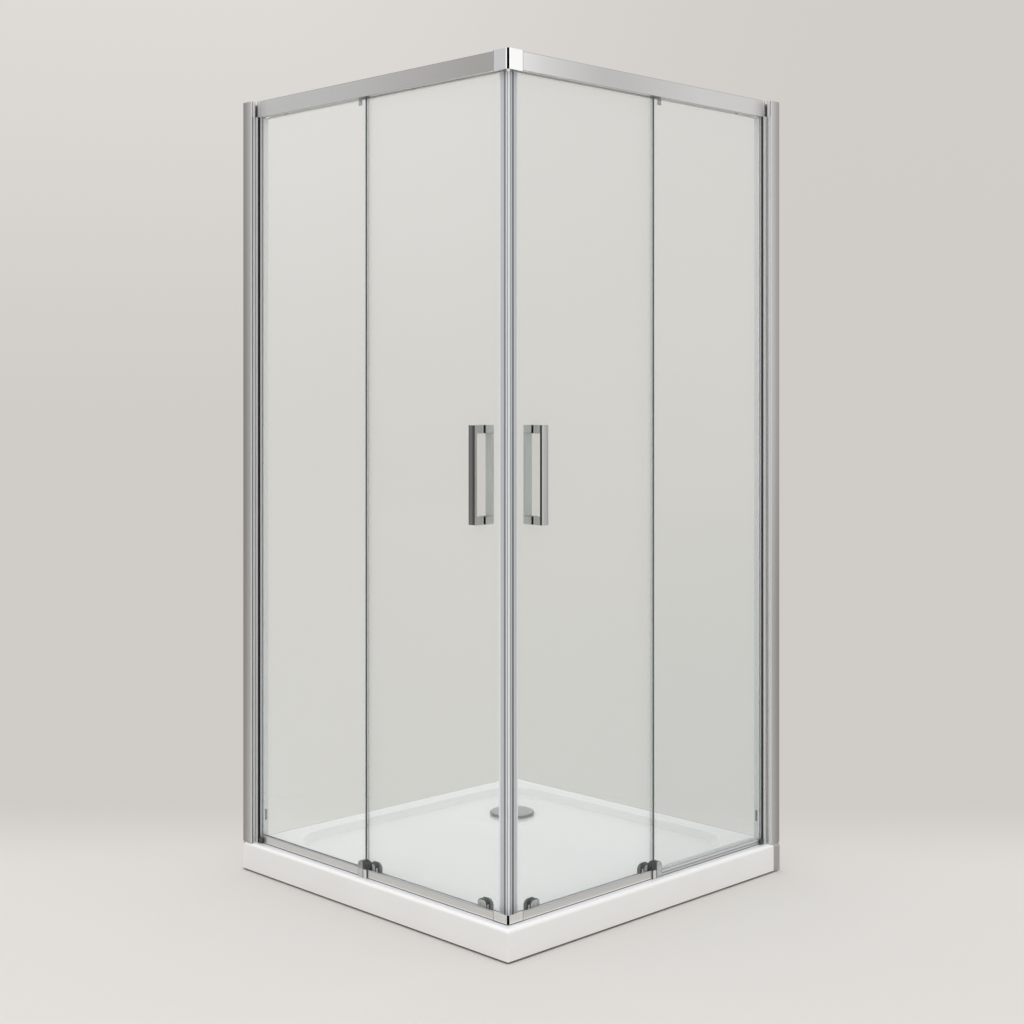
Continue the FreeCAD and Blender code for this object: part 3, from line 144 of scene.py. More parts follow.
# %% A material and its nodes
class Finish:
    """One material and its node tree, ended by a Principled shader or by whatever is passed to surface()."""

    def __init__(self, name, tree=None):
        self.material = None
        if tree is None:
            self.material = bpy.data.materials.new(name)
            self.material.use_nodes = True
            tree = self.material.node_tree
        self.tree = tree
        self.tree.nodes.clear()
        kind = "ShaderNodeOutputMaterial" if self.material else "ShaderNodeOutputWorld"
        self.output = self.tree.nodes.new(kind)

    def node(self, kind, settings=None, inputs=None, output=0):
        """Adds a node: its settings first, then the values or wires of its sockets."""
        node = self.tree.nodes.new(kind)
        for name, value in (settings or {}).items():
            if name == "stops":
                self._set_stops(node.color_ramp, value)
            else:
                setattr(node, name, value)
        for name, value in (inputs or {}).items():
            socket = node.inputs[name]
            if isinstance(value, Wire):
                self.tree.links.new(value.socket, socket)
            else:
                socket.default_value = value
        return Wire(self, node.outputs[output])

    @staticmethod
    def _set_stops(ramp, stops):
        for _ in range(len(stops) - len(ramp.elements)):
            ramp.elements.new(1.0)
        for element, (position, colour) in zip(ramp.elements, stops):
            element.position = position
            element.color = colour

    def place(self):
        """Where a point lies on the object, in metres."""
        return self.node("ShaderNodeTexCoord", output="Object")

    def stretched(self, scale):
        """The same place with each axis scaled, to draw a pattern out along one of them."""
        inputs = {"Vector": self.place(), "Scale": scale}
        return self.node("ShaderNodeMapping", {"vector_type": "POINT"}, inputs)

    def noise(self, vector, scale, detail=2.0, roughness=0.5):
        inputs = {"Vector": vector, "Scale": scale, "Detail": detail, "Roughness": roughness}
        return self.node("ShaderNodeTexNoise", {}, inputs)

    def axis(self, vector, name):
        return self.node("ShaderNodeSeparateXYZ", {}, {"Vector": vector}, output=name)

    def blend(self, factor, first, second):
        """Two colours, mixed by a number from 0 to 1."""
        inputs = {"Factor": factor, 6: first, 7: second}
        return self.node("ShaderNodeMix", {"data_type": "RGBA"}, inputs, output=2)

    def bump(self, height, distance, strength=1.0):
        inputs = {"Height": height, "Distance": distance, "Strength": strength}
        return self.node("ShaderNodeBump", {}, inputs)

    def shader(self, **inputs):
        named = {name.replace("_", " "): value for name, value in inputs.items()}
        return self.node("ShaderNodeBsdfPrincipled", {}, named)

    def mixed(self, factor, first, second):
        return self.node("ShaderNodeMixShader", {}, {0: factor, 1: first, 2: second})

    def surface(self, shader):
        self.tree.links.new(shader.socket, self.output.inputs["Surface"])
        return self.material

    def skin(self, colour, roughness, height, **more):
        """Ends a solid material: a Principled shader with a bump as its Normal."""
        return self.surface(self.shader(Base_Color=colour, Roughness=roughness, Normal=height, **more))


def grey(level, warmth=0.0):
    """A linear colour of one level, warmer or cooler by a little."""
    return (level * (1 + warmth), level, level * (1 - warmth), 1.0)


print("tools: Finish and grey")

# %% [markdown]
# A studio shot has no line between floor and wall: a wide paper hangs behind the object and curves forward
# under it. That could be modelled as one swept sheet, but then its shade would change where it bends. A
# flat floor is simpler. It is plain paint under the object, and it turns into the backdrop's own colour
# behind it and towards its far edge, so that no seam shows from any side.

# %% Floor and backdrop
BACKDROP_HIGH_LEFT = (0.735, 0.710, 0.685, 1.0)
BACKDROP_HIGH_RIGHT = (0.640, 0.618, 0.592, 1.0)
BACKDROP_LOW = (0.628, 0.602, 0.572, 1.0)
FLOOR_PAINT = (0.764, 0.738, 0.709, 1.0)
FLOOR_REACH = 10.0
COVE = (-0.05, 0.75)
FAR_FADE = (0.5 * FLOOR_REACH, 0.95 * FLOOR_REACH)
BACK_WAY = LOOK.normalized()
RIGHT_WAY = Vector((LOOK.y, -LOOK.x, 0.0)).normalized()


def along(finish, vector, direction):
    """How far a vector reaches along one direction."""
    inputs = {0: vector, 1: direction}
    return finish.node("ShaderNodeVectorMath", {"operation": "DOT_PRODUCT"}, inputs, output="Value")


def length(finish, vector):
    return finish.node("ShaderNodeVectorMath", {"operation": "LENGTH"}, {0: vector}, output="Value")


floor_mesh = bpy.data.meshes.new("studio_floor")
shape = bmesh.new()
bmesh.ops.create_grid(shape, x_segments=2, y_segments=2, size=FLOOR_REACH)
shape.to_mesh(floor_mesh)
shape.free()
floor = bpy.data.objects.new("studio_floor", floor_mesh)
bpy.context.scene.collection.objects.link(floor)
floor_finish = Finish("studio_floor_paint")
behind = along(floor_finish, floor_finish.place(), BACK_WAY)
painted = floor_finish.shader(Base_Color=FLOOR_PAINT, Roughness=0.9)
glow = floor_finish.node("ShaderNodeEmission", {}, {"Color": BACKDROP_LOW, "Strength": 1.0})
near = length(floor_finish, floor_finish.place()).fade_between(*FAR_FADE)
faded = floor_finish.mixed(1 - behind.fade_between(*COVE) * near, painted, glow)
floor_mesh.materials.append(floor_finish.surface(faded))
print("stage: floor %.0f m across" % (2 * FLOOR_REACH))

# %% [markdown]
# Bright metal has no look of its own; it repeats the room. The photograph tells what stood around it. The
# faces on the right are nearly white, so a white card stood there. The faces on the left are pale above and
# below but charcoal at the handles' height, so the studio was dark at the horizon there, and brighter
# further round. The rounded corner edge is a black line between two white ones: it looks straight back at
# the camera, which stood in the dark between two lit cards.

# %% World: the room that the metal mirrors
LEFT_HIGH = (0.585, 0.610, 0.640, 1.0)
LEFT_LOW = (0.80, 0.785, 0.765, 1.0)
LEFT_FAR = (0.88, 0.875, 0.86, 1.0)
LEFT_DARK = grey(0.035)
RIGHT_CARD = (1.0, 1.0, 1.0, 1.0)
OVERHEAD = (1.0, 0.99, 0.98, 1.0)
CARDS_BY_THE_EYE = grey(1.15)
DARK_AT_THE_EYE = grey(0.01)
# Where each of them starts and is full, as a view's rise, 1 straight up, or its reach, 1 straight that way.
DARK_BAND_FOOT = (-0.13, -0.05)
DARK_BAND_TOP = (0.03, 0.12)
PAST_THE_EYE = (0.06, 0.26)
LEFT_WALL = (0.35, 0.85)
CEILING = (0.45, 0.85)
EYE_CARDS = (0.06, 0.30)
EYE_GAP = (0.76, 0.88)

world = bpy.data.worlds.new("studio_air")
world.use_nodes = True
bpy.context.scene.world = world
air = Finish("studio_air", world.node_tree)
view = air.node("ShaderNodeTexCoord", output="Generated")
rise = air.axis(view, "Z")
to_eye = along(air, view, Vector((1.0, -1.0, 0.0)).normalized())
to_right = along(air, view, Vector((1.0, 1.0, 0.0)).normalized())

# The left wall from its foot up, then what covers it: the ceiling, the cards beside the eye and the gap.
left_side = air.blend(rise.smooth_between(*DARK_BAND_FOOT), LEFT_LOW, LEFT_DARK)
left_side = air.blend(rise.smooth_between(*DARK_BAND_TOP), left_side, LEFT_HIGH)
left_side = air.blend((0.0 - to_eye).smooth_between(*PAST_THE_EYE), left_side, LEFT_FAR)
room = air.blend((0.0 - to_right).smooth_between(*LEFT_WALL), RIGHT_CARD, left_side)
room = air.blend(rise.smooth_between(*CEILING), room, OVERHEAD)
room = air.blend(to_eye.smooth_between(*EYE_CARDS), room, CARDS_BY_THE_EYE)
room = air.blend(to_eye.smooth_between(*EYE_GAP), room, DARK_AT_THE_EYE)
print("room: cards left, right and overhead, dark behind the camera")

# %% [markdown]
# The camera doesn't see that room. Behind the object it sees the paper, palest high up on the left and
# deeper low down and to the right, also through the clear glass. The light on the object is a third thing,
# one even grey. A light path node tells which kind of ray asks, so each gets its own background.

# %% World: what each kind of ray sees
LIGHTING = grey(0.86)
ACROSS_PAPER = (-0.16, 0.20)
UP_PAPER = (-0.06, 0.26)

across_paper = along(air, view, RIGHT_WAY).smooth_between(*ACROSS_PAPER)
high = air.blend(across_paper, BACKDROP_HIGH_LEFT, BACKDROP_HIGH_RIGHT)
backdrop = air.blend(rise.smooth_between(*UP_PAPER), BACKDROP_LOW, high)
plain = air.node("ShaderNodeBackground", {}, {"Color": backdrop, "Strength": 1.0})
mirrored = air.node("ShaderNodeBackground", {}, {"Color": room, "Strength": 1.0})
lighting = air.node("ShaderNodeBackground", {}, {"Color": LIGHTING, "Strength": 1.0})


def ray(finish, kind):
    return finish.node("ShaderNodeLightPath", output=kind)


shown = (ray(air, "Is Camera Ray") + ray(air, "Is Transmission Ray")).smooth_between(0.0, 0.5)
unseen = air.mixed(ray(air, "Is Glossy Ray"), lighting, mirrored)
air.surface(air.mixed(shown, unseen, plain))
print("world: backdrop for the camera, room for the metal, even light for the rest")

# %% [markdown]
# Nearly all of the light comes from the world, as in a tent of white cloth. Three large area lights add a
# little direction and the soft shadow under the tray. In polished metal an area light would be a hard white
# panel, so they are kept out of reflections, and the metal mirrors only the painted room.

# %% Soft lights
def softbox(name, place, aim, width, height, power):
    """A rectangular area light that faces a point and stays out of reflections."""
    lamp = bpy.data.lights.new(name, "AREA")
    lamp.shape = "RECTANGLE"
    lamp.size = width
    lamp.size_y = height
    lamp.energy = power
    holder = bpy.data.objects.new(name, lamp)
    holder.location = place
    holder.rotation_euler = (Vector(aim) - Vector(place)).to_track_quat("-Z", "Y").to_euler()
    holder.visible_glossy = False
    bpy.context.scene.collection.objects.link(holder)


MIDDLE = (0.0, 0.0, 0.6)
softbox("key_left", place=(0.4, -4.4, 3.4), aim=MIDDLE, width=2.6, height=3.2, power=34.0)
softbox("fill_right", place=(4.4, 0.4, 2.8), aim=MIDDLE, width=2.4, height=2.8, power=12.0)
softbox("top_light", place=(0.0, 0.0, 5.2), aim=(0.0, 0.0, 0.0), width=3.2, height=3.2, power=14.0)
bpy.context.scene.view_settings.view_transform = "Standard"

# %% [markdown]
# Many of the finishes change from place to place on a side of the enclosure: darker at the wall, a shadow
# line at a joint. The natural ruler for that is the one the maker uses, how far along the side from the
# entry corner, how far in from the tray's edge, and how high. The left side runs along -X and the right one
# along +Y, so one helper turns Object coordinates into those distances for either side.

# %% Distances on a side
tray_low, tray_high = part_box("tray")
HALF_TRAY = tray_high.x
TRAY_TOP = tray_high.z


def side_places(finish, side):
    """Along the side from the entry corner, inward from the tray's edge, and up from the floor, in metres."""
    east = finish.axis(finish.place(), "X")
    north = finish.axis(finish.place(), "Y")
    height = finish.axis(finish.place(), "Z")
    if side == "left":
        return HALF_TRAY - east, north + HALF_TRAY, height
    return north + HALF_TRAY, HALF_TRAY - east, height


def line(value, low, high, soft=0.0004):
    """1 between two distances and 0 outside them, with a soft edge."""
    return value.smooth_between(low - soft, low + soft) * value.fade_between(high - soft, high + soft)


print("tray: half side %.3f m, top at %.3f m" % (HALF_TRAY, TRAY_TOP))

# %% [markdown]
# Extruded aluminium is drawn through a die, so it carries faint lines along its length, and the satin
# anodising over them scatters light a little. A noise that is stretched a thousandfold along one axis gives
# those lines. The uprights, the left rails and the right rails run along different axes, so each direction
# gets its own finish from one recipe. The edges of a rail are rounded by half a millimetre, less than a
# pixel here; what shows of such an edge is a thin line, darker on top where it looks up into the room and
# dark again in the joints, and that line is a matter of shade and not of shape.

# %% Satin aluminium
ALONG = 3.0
ACROSS = 1400.0
JOINT_SHADE = grey(0.055)
GRAIN = {"left": (ALONG, ACROSS, ACROSS), "right": (ACROSS, ALONG, ACROSS), "up": (ACROSS, ACROSS, ALONG)}
SATIN_METAL = 0.85
SATIN_ROUGHNESS = 0.24
DIE_LINE_HEIGHT = 0.00004


def satin(finish, grain, colour, metallic=SATIN_METAL):
    """Anodised aluminium with die lines along the one axis whose grain scale is small."""
    lines = finish.noise(finish.stretched(grain), 1.0, detail=3.0)
    cloud = finish.noise(finish.place(), 5.0)
    toned = finish.blend(lines * 0.10 + cloud * 0.08, colour, grey(0.30))
    height = finish.bump(lines, DIE_LINE_HEIGHT, 0.35)
    return finish.skin(toned, SATIN_ROUGHNESS + lines * 0.12, height, Metallic=metallic)


def ramp(finish, share, stops):
    return finish.node("ShaderNodeValToRGB", {"stops": stops}, {"Fac": share}, output="Color")


def shades(finish, value, start, width, levels, warmth=0.0):
    """A colour ramp over a distance: each level has its millimetres, its grey and perhaps its own warmth."""
    stops = [(millimetres / (1000 * width), grey(level, *(own_warmth or (warmth,))))
             for millimetres, level, *own_warmth in levels]
    return ramp(finish, (value - start) / width, stops)


def looking(finish, way):
    """How squarely a surface looks along one direction, from -1 to 1."""
    return along(finish, finish.node("ShaderNodeTexCoord", output="Normal"), Vector(way))


print("satin: grain scales", GRAIN)

# %% [markdown]
# The top rails are the largest pieces of metal. Each carries a painted reflection that changes from end to
# end, as a long mirror of a room does: the left one is darker and warmer towards the corner, and the right
# one is brightest there. Where the rail meets the wall profile, the profile would show in it as a dark smear.
# Less of a mirror on the last few centimetres, with a paler ground, keeps the end of the rail as clean as on
# the real one, and a painted highlight marks the end itself. Seen from below, the mouth of the rail is a thin
# painted shadow, with a channel behind it that is painted bright, as if lit from the floor.

# %% Top rails
rail_low, rail_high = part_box("right_top_rail")
RAIL_START = rail_low.y + HALF_TRAY
RAIL_END = rail_high.y + HALF_TRAY
RAIL_FACE = HALF_TRAY - rail_high.x
# Painted reflection along each rail: millimetres from the corner, a grey, and perhaps its own warmth.
TOP_RAIL_LEVELS = {
    "left": ((60, 0.495, 0.050), (130, 0.500, 0.050), (240, 0.540, 0.045), (350, 0.585, 0.035),
             (540, 0.645, 0.018), (900, 0.690, 0.012)),
    "right": ((75, 0.78), (146, 0.67), (208, 0.61), (275, 0.555), (340, 0.515), (405, 0.52), (548, 0.565),
              (700, 0.625), (900, 0.63)),
}
WALL_END_LEVEL = {"left": 0.56, "right": 0.62}
WALL_END = (RAIL_END - 0.050, RAIL_END - 0.030)
# A bright line painted where the rail ends at the wall profile: a painted highlight of that end.
END_HIGHLIGHT = (RAIL_END - 0.0092, RAIL_END - 0.0058)
TOP_ARRIS = (rail_high.z - 0.0020, rail_high.z - 0.0010)
ROOF = (rail_high.z - 0.0016, rail_high.z - 0.0008)
HOLLOW = (RAIL_FACE + 0.0015, HALF_TRAY)
MOUTH_SHADE = (0.0, RAIL_FACE + 0.010)
FACING = (0.4, 0.8)
# The rail's channel is painted bright, as if lit from the floor below.
CHANNEL_PAINTED_LIGHT = grey(0.97)


def top_rail(side):
    """Painted shades: paler at the wall, a highlight at its end, a darker top arris, a shadow in its mouth, a
    bright channel.
    """
    finish = Finish("satin_top_rail_" + side)
    reach, depth, height = side_places(finish, side)
    colour = shades(finish, reach, 0.0, 1.0, TOP_RAIL_LEVELS[side], warmth=0.008)
    near_wall = reach.smooth_between(*WALL_END)
    colour = finish.blend(near_wall, colour, grey(WALL_END_LEVEL[side], 0.01))
    colour = finish.blend(height.smooth_between(*TOP_ARRIS) * 0.8, colour, grey(0.34))
    colour = finish.blend(line(reach, *END_HIGHLIGHT), colour, grey(0.92))
    below = looking(finish, (0.0, 0.0, -1.0)).smooth_between(*FACING)
    hollow = line(depth, *HOLLOW) * height.fade_between(*ROOF)
    mouth = finish.blend(line(depth, *MOUTH_SHADE), CHANNEL_PAINTED_LIGHT, grey(0.50))
    colour = finish.blend(hollow, colour, CHANNEL_PAINTED_LIGHT)
    colour = finish.blend(below, colour, mouth)
    mirror = (SATIN_METAL - 0.65 * near_wall) * (1 - below) * (1 - hollow)
    return satin(finish, GRAIN[side], colour, metallic=mirror)


SIDES = ("left", "right")
top_rails = {side: top_rail(side) for side in SIDES}
print("top rails: from %.4f to %.4f m, face at %.4f m" % (RAIL_START, RAIL_END, RAIL_FACE))

# %% [markdown]
# The bottom rails stand on the tray's rim. At their foot a shadow line is painted, with a paler line painted
# above it as a highlight, and their top is an open channel that the doors run in. Beyond the pane's clip the
# right side has only a slim clear sill, so there the upper half of the rail is as pale as the tray behind it.

# %% Bottom rails
sill_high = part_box("right_bottom_rail")[1]
clip_low, clip_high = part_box("right_pane_clip")
CLIP_END = clip_high.y + HALF_TRAY
SLIM_SILL = ((0.0, 0.055), (1.3, 0.055), (2.0, 0.60), (5.0, 0.62), (5.8, 0.28), (7.4, 0.26), (8.6, 0.46),
             (9.4, 0.66), (11.4, 0.70), (12.4, 0.60), (14.6, 0.62), (16.0, 0.83), (21.0, 0.84))
SLIM_HEIGHT = 0.022
SLIM_START = (CLIP_END - 0.001, CLIP_END)
CHANNEL_WALL = (RAIL_FACE + 0.002, RAIL_FACE + 0.004)
# Each side's rail face is painted in its own shade, a little paler on the left.
SILL_LEVEL = {"left": 0.70, "right": 0.66}
SILL_ARRIS = (sill_high.z - 0.0022, sill_high.z + 0.001)
# A paler line painted just above the foot: a painted highlight of the rail's lower edge.
FOOT_HIGHLIGHT = (TRAY_TOP + 0.0022, TRAY_TOP + 0.0046)
SILL_FOOT = (TRAY_TOP + 0.0012, TRAY_TOP + 0.0018)
CAP_SHADE = (RAIL_START - 0.010, RAIL_START + 0.0012)


def bottom_rail(side):
    """Pale, with painted shade on arris, foot and beside the corner cap, a highlight above the foot; slim past
    the right clip.
    """
    finish = Finish("satin_bottom_rail_" + side)
    reach, depth, height = side_places(finish, side)
    above = looking(finish, (0.0, 0.0, 1.0)).smooth_between(*FACING)
    colour = finish.blend(above, grey(SILL_LEVEL[side], 0.02), grey(0.62, -0.03))
    colour = finish.blend(line(height, *SILL_ARRIS) * (1 - above), colour, grey(0.52, -0.03))
    colour = finish.blend(line(height, *FOOT_HIGHLIGHT) * 0.7, colour, grey(0.97))
    colour = finish.blend(height.fade_between(*SILL_FOOT), colour, JOINT_SHADE)
    colour = finish.blend(line(reach, *CAP_SHADE) * 0.6, colour, grey(0.16))
    mirror = SATIN_METAL - 0.55 * above
    if side == "right":
        slim = reach.smooth_between(*SLIM_START)
        lines = shades(finish, height, TRAY_TOP, SLIM_HEIGHT, SLIM_SILL, warmth=-0.015)
        lines = finish.blend(depth.smooth_between(*CHANNEL_WALL), lines, grey(0.86))
        colour = finish.blend(slim, colour, lines)
        mirror = mirror * (1 - 0.9 * slim)
    return satin(finish, GRAIN[side], colour, metallic=mirror)


bottom_rails = {side: bottom_rail(side) for side in SIDES}
print("bottom rails: top at %.4f m, clip ends at %.4f m" % (sill_high.z, CLIP_END))

# %% [markdown]
# A wall profile is a deep U that the side post slides in. Its front deepens towards the wall. On the cheek
# at its mouth the light catches the rim first, then comes the shadow of the gap, and then the post and the
# rubber of the pane's gasket, one upright line beside the other. These lines are a few millimetres wide and
# lie at set depths, so they are painted by depth.

# %% Wall profiles
PROFILE_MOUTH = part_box("right_wall_profile")[0].y + HALF_TRAY
FRONT_LEVELS = {"left": (0.58, 0.33), "right": (0.55, 0.33)}
# Painted light and shade across each cheek, by millimetres inward: the rim's highlight, the gap's shadow, and
# an end painted pale against the shade deep in the profile.
CHEEK_LEVELS = {
    "left": ((0.0, 0.74), (1.8, 0.72), (2.6, 0.15), (4.4, 0.16), (5.6, 0.34), (8.0, 0.66), (20.0, 0.78)),
    "right": ((0.0, 0.52), (2.6, 0.56), (4.0, 0.74), (6.8, 0.74), (8.4, 0.60), (9.8, 0.40), (12.0, 0.48),
              (13.6, 0.70), (20.0, 0.78)),
}
CHEEK_DEPTH = 0.020
CHEEK = (PROFILE_MOUTH + 0.0006, PROFILE_MOUTH + 0.0014)
MOUTH_ARRIS = (PROFILE_MOUTH + 0.0024, PROFILE_MOUTH + 0.0032)
ARRIS_LEVEL = {"left": 0.82, "right": 0.76}
BESIDE_RAIL = (rail_low.z - 0.001, rail_low.z + 0.001)
RIM_GAP = (0.0024, 0.0046)
SLOT_GAP = (0.0125, 0.0160)


def wall_profile(side):
    """A front that deepens towards the wall, a bright arris at the mouth and a cheek drawn in upright lines."""
    finish = Finish("satin_wall_profile_" + side)
    reach, depth, height = side_places(finish, side)
    mouth_shade, wall_shade = (grey(level, 0.02) for level in FRONT_LEVELS[side])
    face = finish.blend(reach.smooth_between(PROFILE_MOUTH, 2 * HALF_TRAY - 0.002), mouth_shade, wall_shade)
    arris = reach.fade_between(*MOUTH_ARRIS)
    face = finish.blend(arris, face, grey(ARRIS_LEVEL[side]))
    beside_rail = finish.blend(line(depth, *SLOT_GAP), grey(0.80), grey(0.03))
    beside_rail = finish.blend(line(depth, *RIM_GAP), beside_rail, grey(0.20))
    cheek = shades(finish, depth, 0.0, CHEEK_DEPTH, CHEEK_LEVELS[side])
    cheek = finish.blend(height.smooth_between(*BESIDE_RAIL), cheek, beside_rail)
    colour = finish.blend(reach.fade_between(*CHEEK), face, cheek)
    return satin(finish, GRAIN["up"], colour, metallic=SATIN_METAL - 0.70 * arris)


wall_profiles = {side: wall_profile(side) for side in SIDES}
print("wall profiles: mouths at %.4f m" % PROFILE_MOUTH)

# %% [markdown]
# The side post is a smaller channel that slides in the wall profile and holds the pane. Little of it shows:
# a pale strip beside the profile, and its narrow cheek beside the glass. One flat colour would nearly do,
# but on the left the cheek is in deep shade, so it is picked out by its place along the side and inward.

# %% Side posts
POST_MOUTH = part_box("right_side_post")[0].y + HALF_TRAY
POST_CHEEK = (POST_MOUTH + 0.0006, POST_MOUTH + 0.0012)
POST_SLOT = (0.0205, 0.0215)


def side_post(side):
    """The post's face is pale; on the left its narrow cheek is the black line beside the glass."""
    finish = Finish("satin_side_post_" + side)
    reach, depth, _ = side_places(finish, side)
    # The face is painted pale, to make up for the shade it stands in inside the wall profile.
    colour = grey(0.72)
    if side == "left":
        cheek = reach.fade_between(*POST_CHEEK) * depth.fade_between(*POST_SLOT)
        colour = finish.blend(cheek, colour, grey(0.008, -0.2))
    return satin(finish, GRAIN["up"], colour, metallic=0.25)


side_posts = {side: side_post(side) for side in SIDES}
print("side posts: mouths at %.4f m" % POST_MOUTH)

# %% [markdown]
# Polished metal has almost no colour of its own. It needs a slight unevenness, or its reflections look
# drawn with a ruler, and a few soft smudges in its roughness where it is touched. The screws and bolts are
# only millimetres across, so one even recipe serves them all.

# %% Screw steel
RIPPLE_HEIGHT = 0.0004
SMUDGED = 0.93


def polished(name, level, roughness):
    finish = Finish(name)
    ripple = finish.noise(finish.place(), 60.0, detail=1.0)
    smudge = finish.noise(finish.place(), 22.0, detail=4.0).smooth_between(0.42, 0.68)
    colour = finish.blend(smudge, grey(level), grey(level * SMUDGED))
    height = finish.bump(ripple, RIPPLE_HEIGHT, 0.12)
    return finish.skin(colour, roughness + smudge * 0.07, height, Metallic=1.0)


screw_steel = polished("screw_steel", 0.52, 0.28)
print("finish:", screw_steel.name)

# %% [markdown]
# The two corner caps are chrome, and the round of their corner is a black line between two white ones. On a
# round of 8 mm the mirror would draw that line about a pixel wide and blur it, so it is painted where the
# round looks straight at the eye.

# %% Corner chrome
CAP_INSET = 0.022
CAP_ROUND = 0.008
ROUND_MIDDLE = 2 * (CAP_INSET + CAP_ROUND) - CAP_ROUND * math.sqrt(2)
LINE_REACH = 0.07
BLACK_LINE = ROUND_MIDDLE + LINE_REACH * CAP_ROUND * math.sqrt(2)
LINE_EDGE = 0.00006
CAP_END = (RAIL_START - 0.0022, RAIL_START + 0.001)
CAP_FOOT = (TRAY_TOP + 0.0014, TRAY_TOP + 0.0022)
# Painted reflection tones: warmer on the faces that look left, and darker on the lower cap.
CHROME_RIGHT = (0.95, 0.945, 0.945, 1.0)
CHROME_LEFT = (0.955, 0.920, 0.885, 1.0)
CHROME_LOW = (0.785, 0.780, 0.772, 1.0)


def corner_chrome(name):
    """Chrome for the two corner caps: the middle of their rounded corner repeats the dark behind the eye."""
    finish = Finish(name)
    reach, depth, height = side_places(finish, "left")
    ripple = finish.noise(finish.place(), 60.0, detail=1.0)
    to_left = looking(finish, (0.0, -1.0, 0.0)).smooth_between(0.6, 0.8)
    colour = finish.blend(to_left, CHROME_RIGHT, CHROME_LEFT)
    colour = finish.blend(height.fade_between(0.4, 0.6), colour, CHROME_LOW)
    corner = (reach + depth).fade_between(BLACK_LINE - LINE_EDGE, BLACK_LINE + LINE_EDGE)
    colour = finish.blend(corner, colour, grey(0.004))
    ends = line(reach, *CAP_END) + line(depth, *CAP_END)
    colour = finish.blend(ends * 0.55, colour, grey(0.16))
    colour = finish.blend(height.fade_between(*CAP_FOOT), colour, JOINT_SHADE)
    return finish.skin(colour, 0.05 + ripple * 0.03, finish.bump(ripple, RIPPLE_HEIGHT, 0.08), Metallic=1.0)


connector_chrome = corner_chrome("connector_chrome")
print("finish:", connector_chrome.name, "with its black line at %.4f m" % BLACK_LINE)

# %% [markdown]
# The handles are bars bent into a C, brushed and bright. A brushed bar takes its shade from the side of the
# room it looks at: the face that looks past the left wall is deep, the one that looks right is pale, and on
# the narrow cheek between the bar and its arms that turns round. The bars inside the glass are an even
# grey. So few pixels can't hold a true reflection, so the shades are painted across the bar and the metal
# is kept weak.

# %% Handles
handle_low, handle_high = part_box("right_handle_outer")
HANDLE_NEAR = handle_low.y + HALF_TRAY
HANDLE_WIDTH = handle_high.y - handle_low.y
BAR_THICK = 0.0072
BAR_BACK = HALF_TRAY - handle_high.x + BAR_THICK
BAR_EDGE = (BAR_BACK - 0.0008, BAR_BACK + 0.0008)
BAR_SPAN = 0.0205
ARM_HEIGHT = 0.019
ARM_TOP = handle_low.z + ARM_HEIGHT
ARM_FOOT = handle_high.z - ARM_HEIGHT
OUTER_BAR_LEVELS = {
    "left": ((0, 0.020), (3, 0.030), (7, 0.080), (12, 0.165), (17, 0.150), (20, 0.085)),
    "right": ((0, 0.66), (3, 0.58), (6, 0.50), (13, 0.46), (16, 0.40), (18, 0.36), (19, 0.46)),
}
CHEEK_LEVEL = {"left": 0.42, "right": 0.040}
OUTWARD = {"left": (0.0, -1.0, 0.0), "right": (1.0, 0.0, 0.0)}
STROKE_HEIGHT = 0.00003
HANDLE_METAL = 0.22
BAR_PAINT = {"outer": (0.45, 0.465, 0.44, 1.0), "inner": (0.50, 0.52, 0.49, 1.0)}


def brushed_handle(side, where):
    """A shaded bar outside the glass, or an even one inside it with a dark joint at each arm."""
    finish = Finish("handle_metal_%s_%s" % (side, where))
    reach, depth, height = side_places(finish, side)
    strokes = finish.noise(finish.stretched((ACROSS, ACROSS, 12.0)), 1.0, detail=3.0)
    colour = BAR_PAINT[where]
    if where == "outer":
        outward = looking(finish, OUTWARD[side]).smooth_between(0.6, 0.8)
        bar = shades(finish, reach, HANDLE_NEAR, BAR_SPAN, OUTER_BAR_LEVELS[side])
        colour = finish.blend(depth.fade_between(*BAR_EDGE), colour, grey(CHEEK_LEVEL[side]))
        colour = finish.blend(outward, colour, bar)
    else:
        joints = line(height, ARM_FOOT - 0.0006, ARM_FOOT + 0.0012)
        joints = joints + line(height, ARM_TOP - 0.0012, ARM_TOP + 0.0006)
        colour = finish.blend(joints * 0.7, colour, grey(0.10))
    toned = finish.blend(strokes * 0.12, colour, grey(0.25))
    height = finish.bump(strokes, STROKE_HEIGHT, 0.3)
    return finish.skin(toned, 0.20 + strokes * 0.12, height, Metallic=HANDLE_METAL)


handle_metals = {where: {side: brushed_handle(side, where) for side in SIDES} for where in BAR_PAINT}
print("handles: %.0f mm wide, bars %.1f mm deep" % (1000 * HANDLE_WIDTH, 1000 * BAR_THICK))

# %% [markdown]
# Soft pads keep the handles off the glass, pale ones outside and black ones inside. The pads of a door are
# one node with one finish, so a step in depth parts the two.

# %% Handle pads
PAD_SPLIT = (0.0446, 0.0452)
RUBBER_HEIGHT = 0.00006


def handle_gasket(side):
    """The pads between the handles and the glass: pale ones outside and black ones inside, split by depth."""
    finish = Finish("handle_gasket_" + side)
    _, depth, _ = side_places(finish, side)
    grain = finish.noise(finish.place(), 1100.0, detail=2.0)
    colour = finish.blend(depth.smooth_between(*PAD_SPLIT), grey(0.72), grey(0.001))
    return finish.skin(colour, 0.45 + grain * 0.15, finish.bump(grain, RUBBER_HEIGHT, 0.4))


handle_gaskets = {side: handle_gasket(side) for side in SIDES}
print("handle pads: pale up to %.1f mm deep, black beyond" % (1000 * PAD_SPLIT[0]))

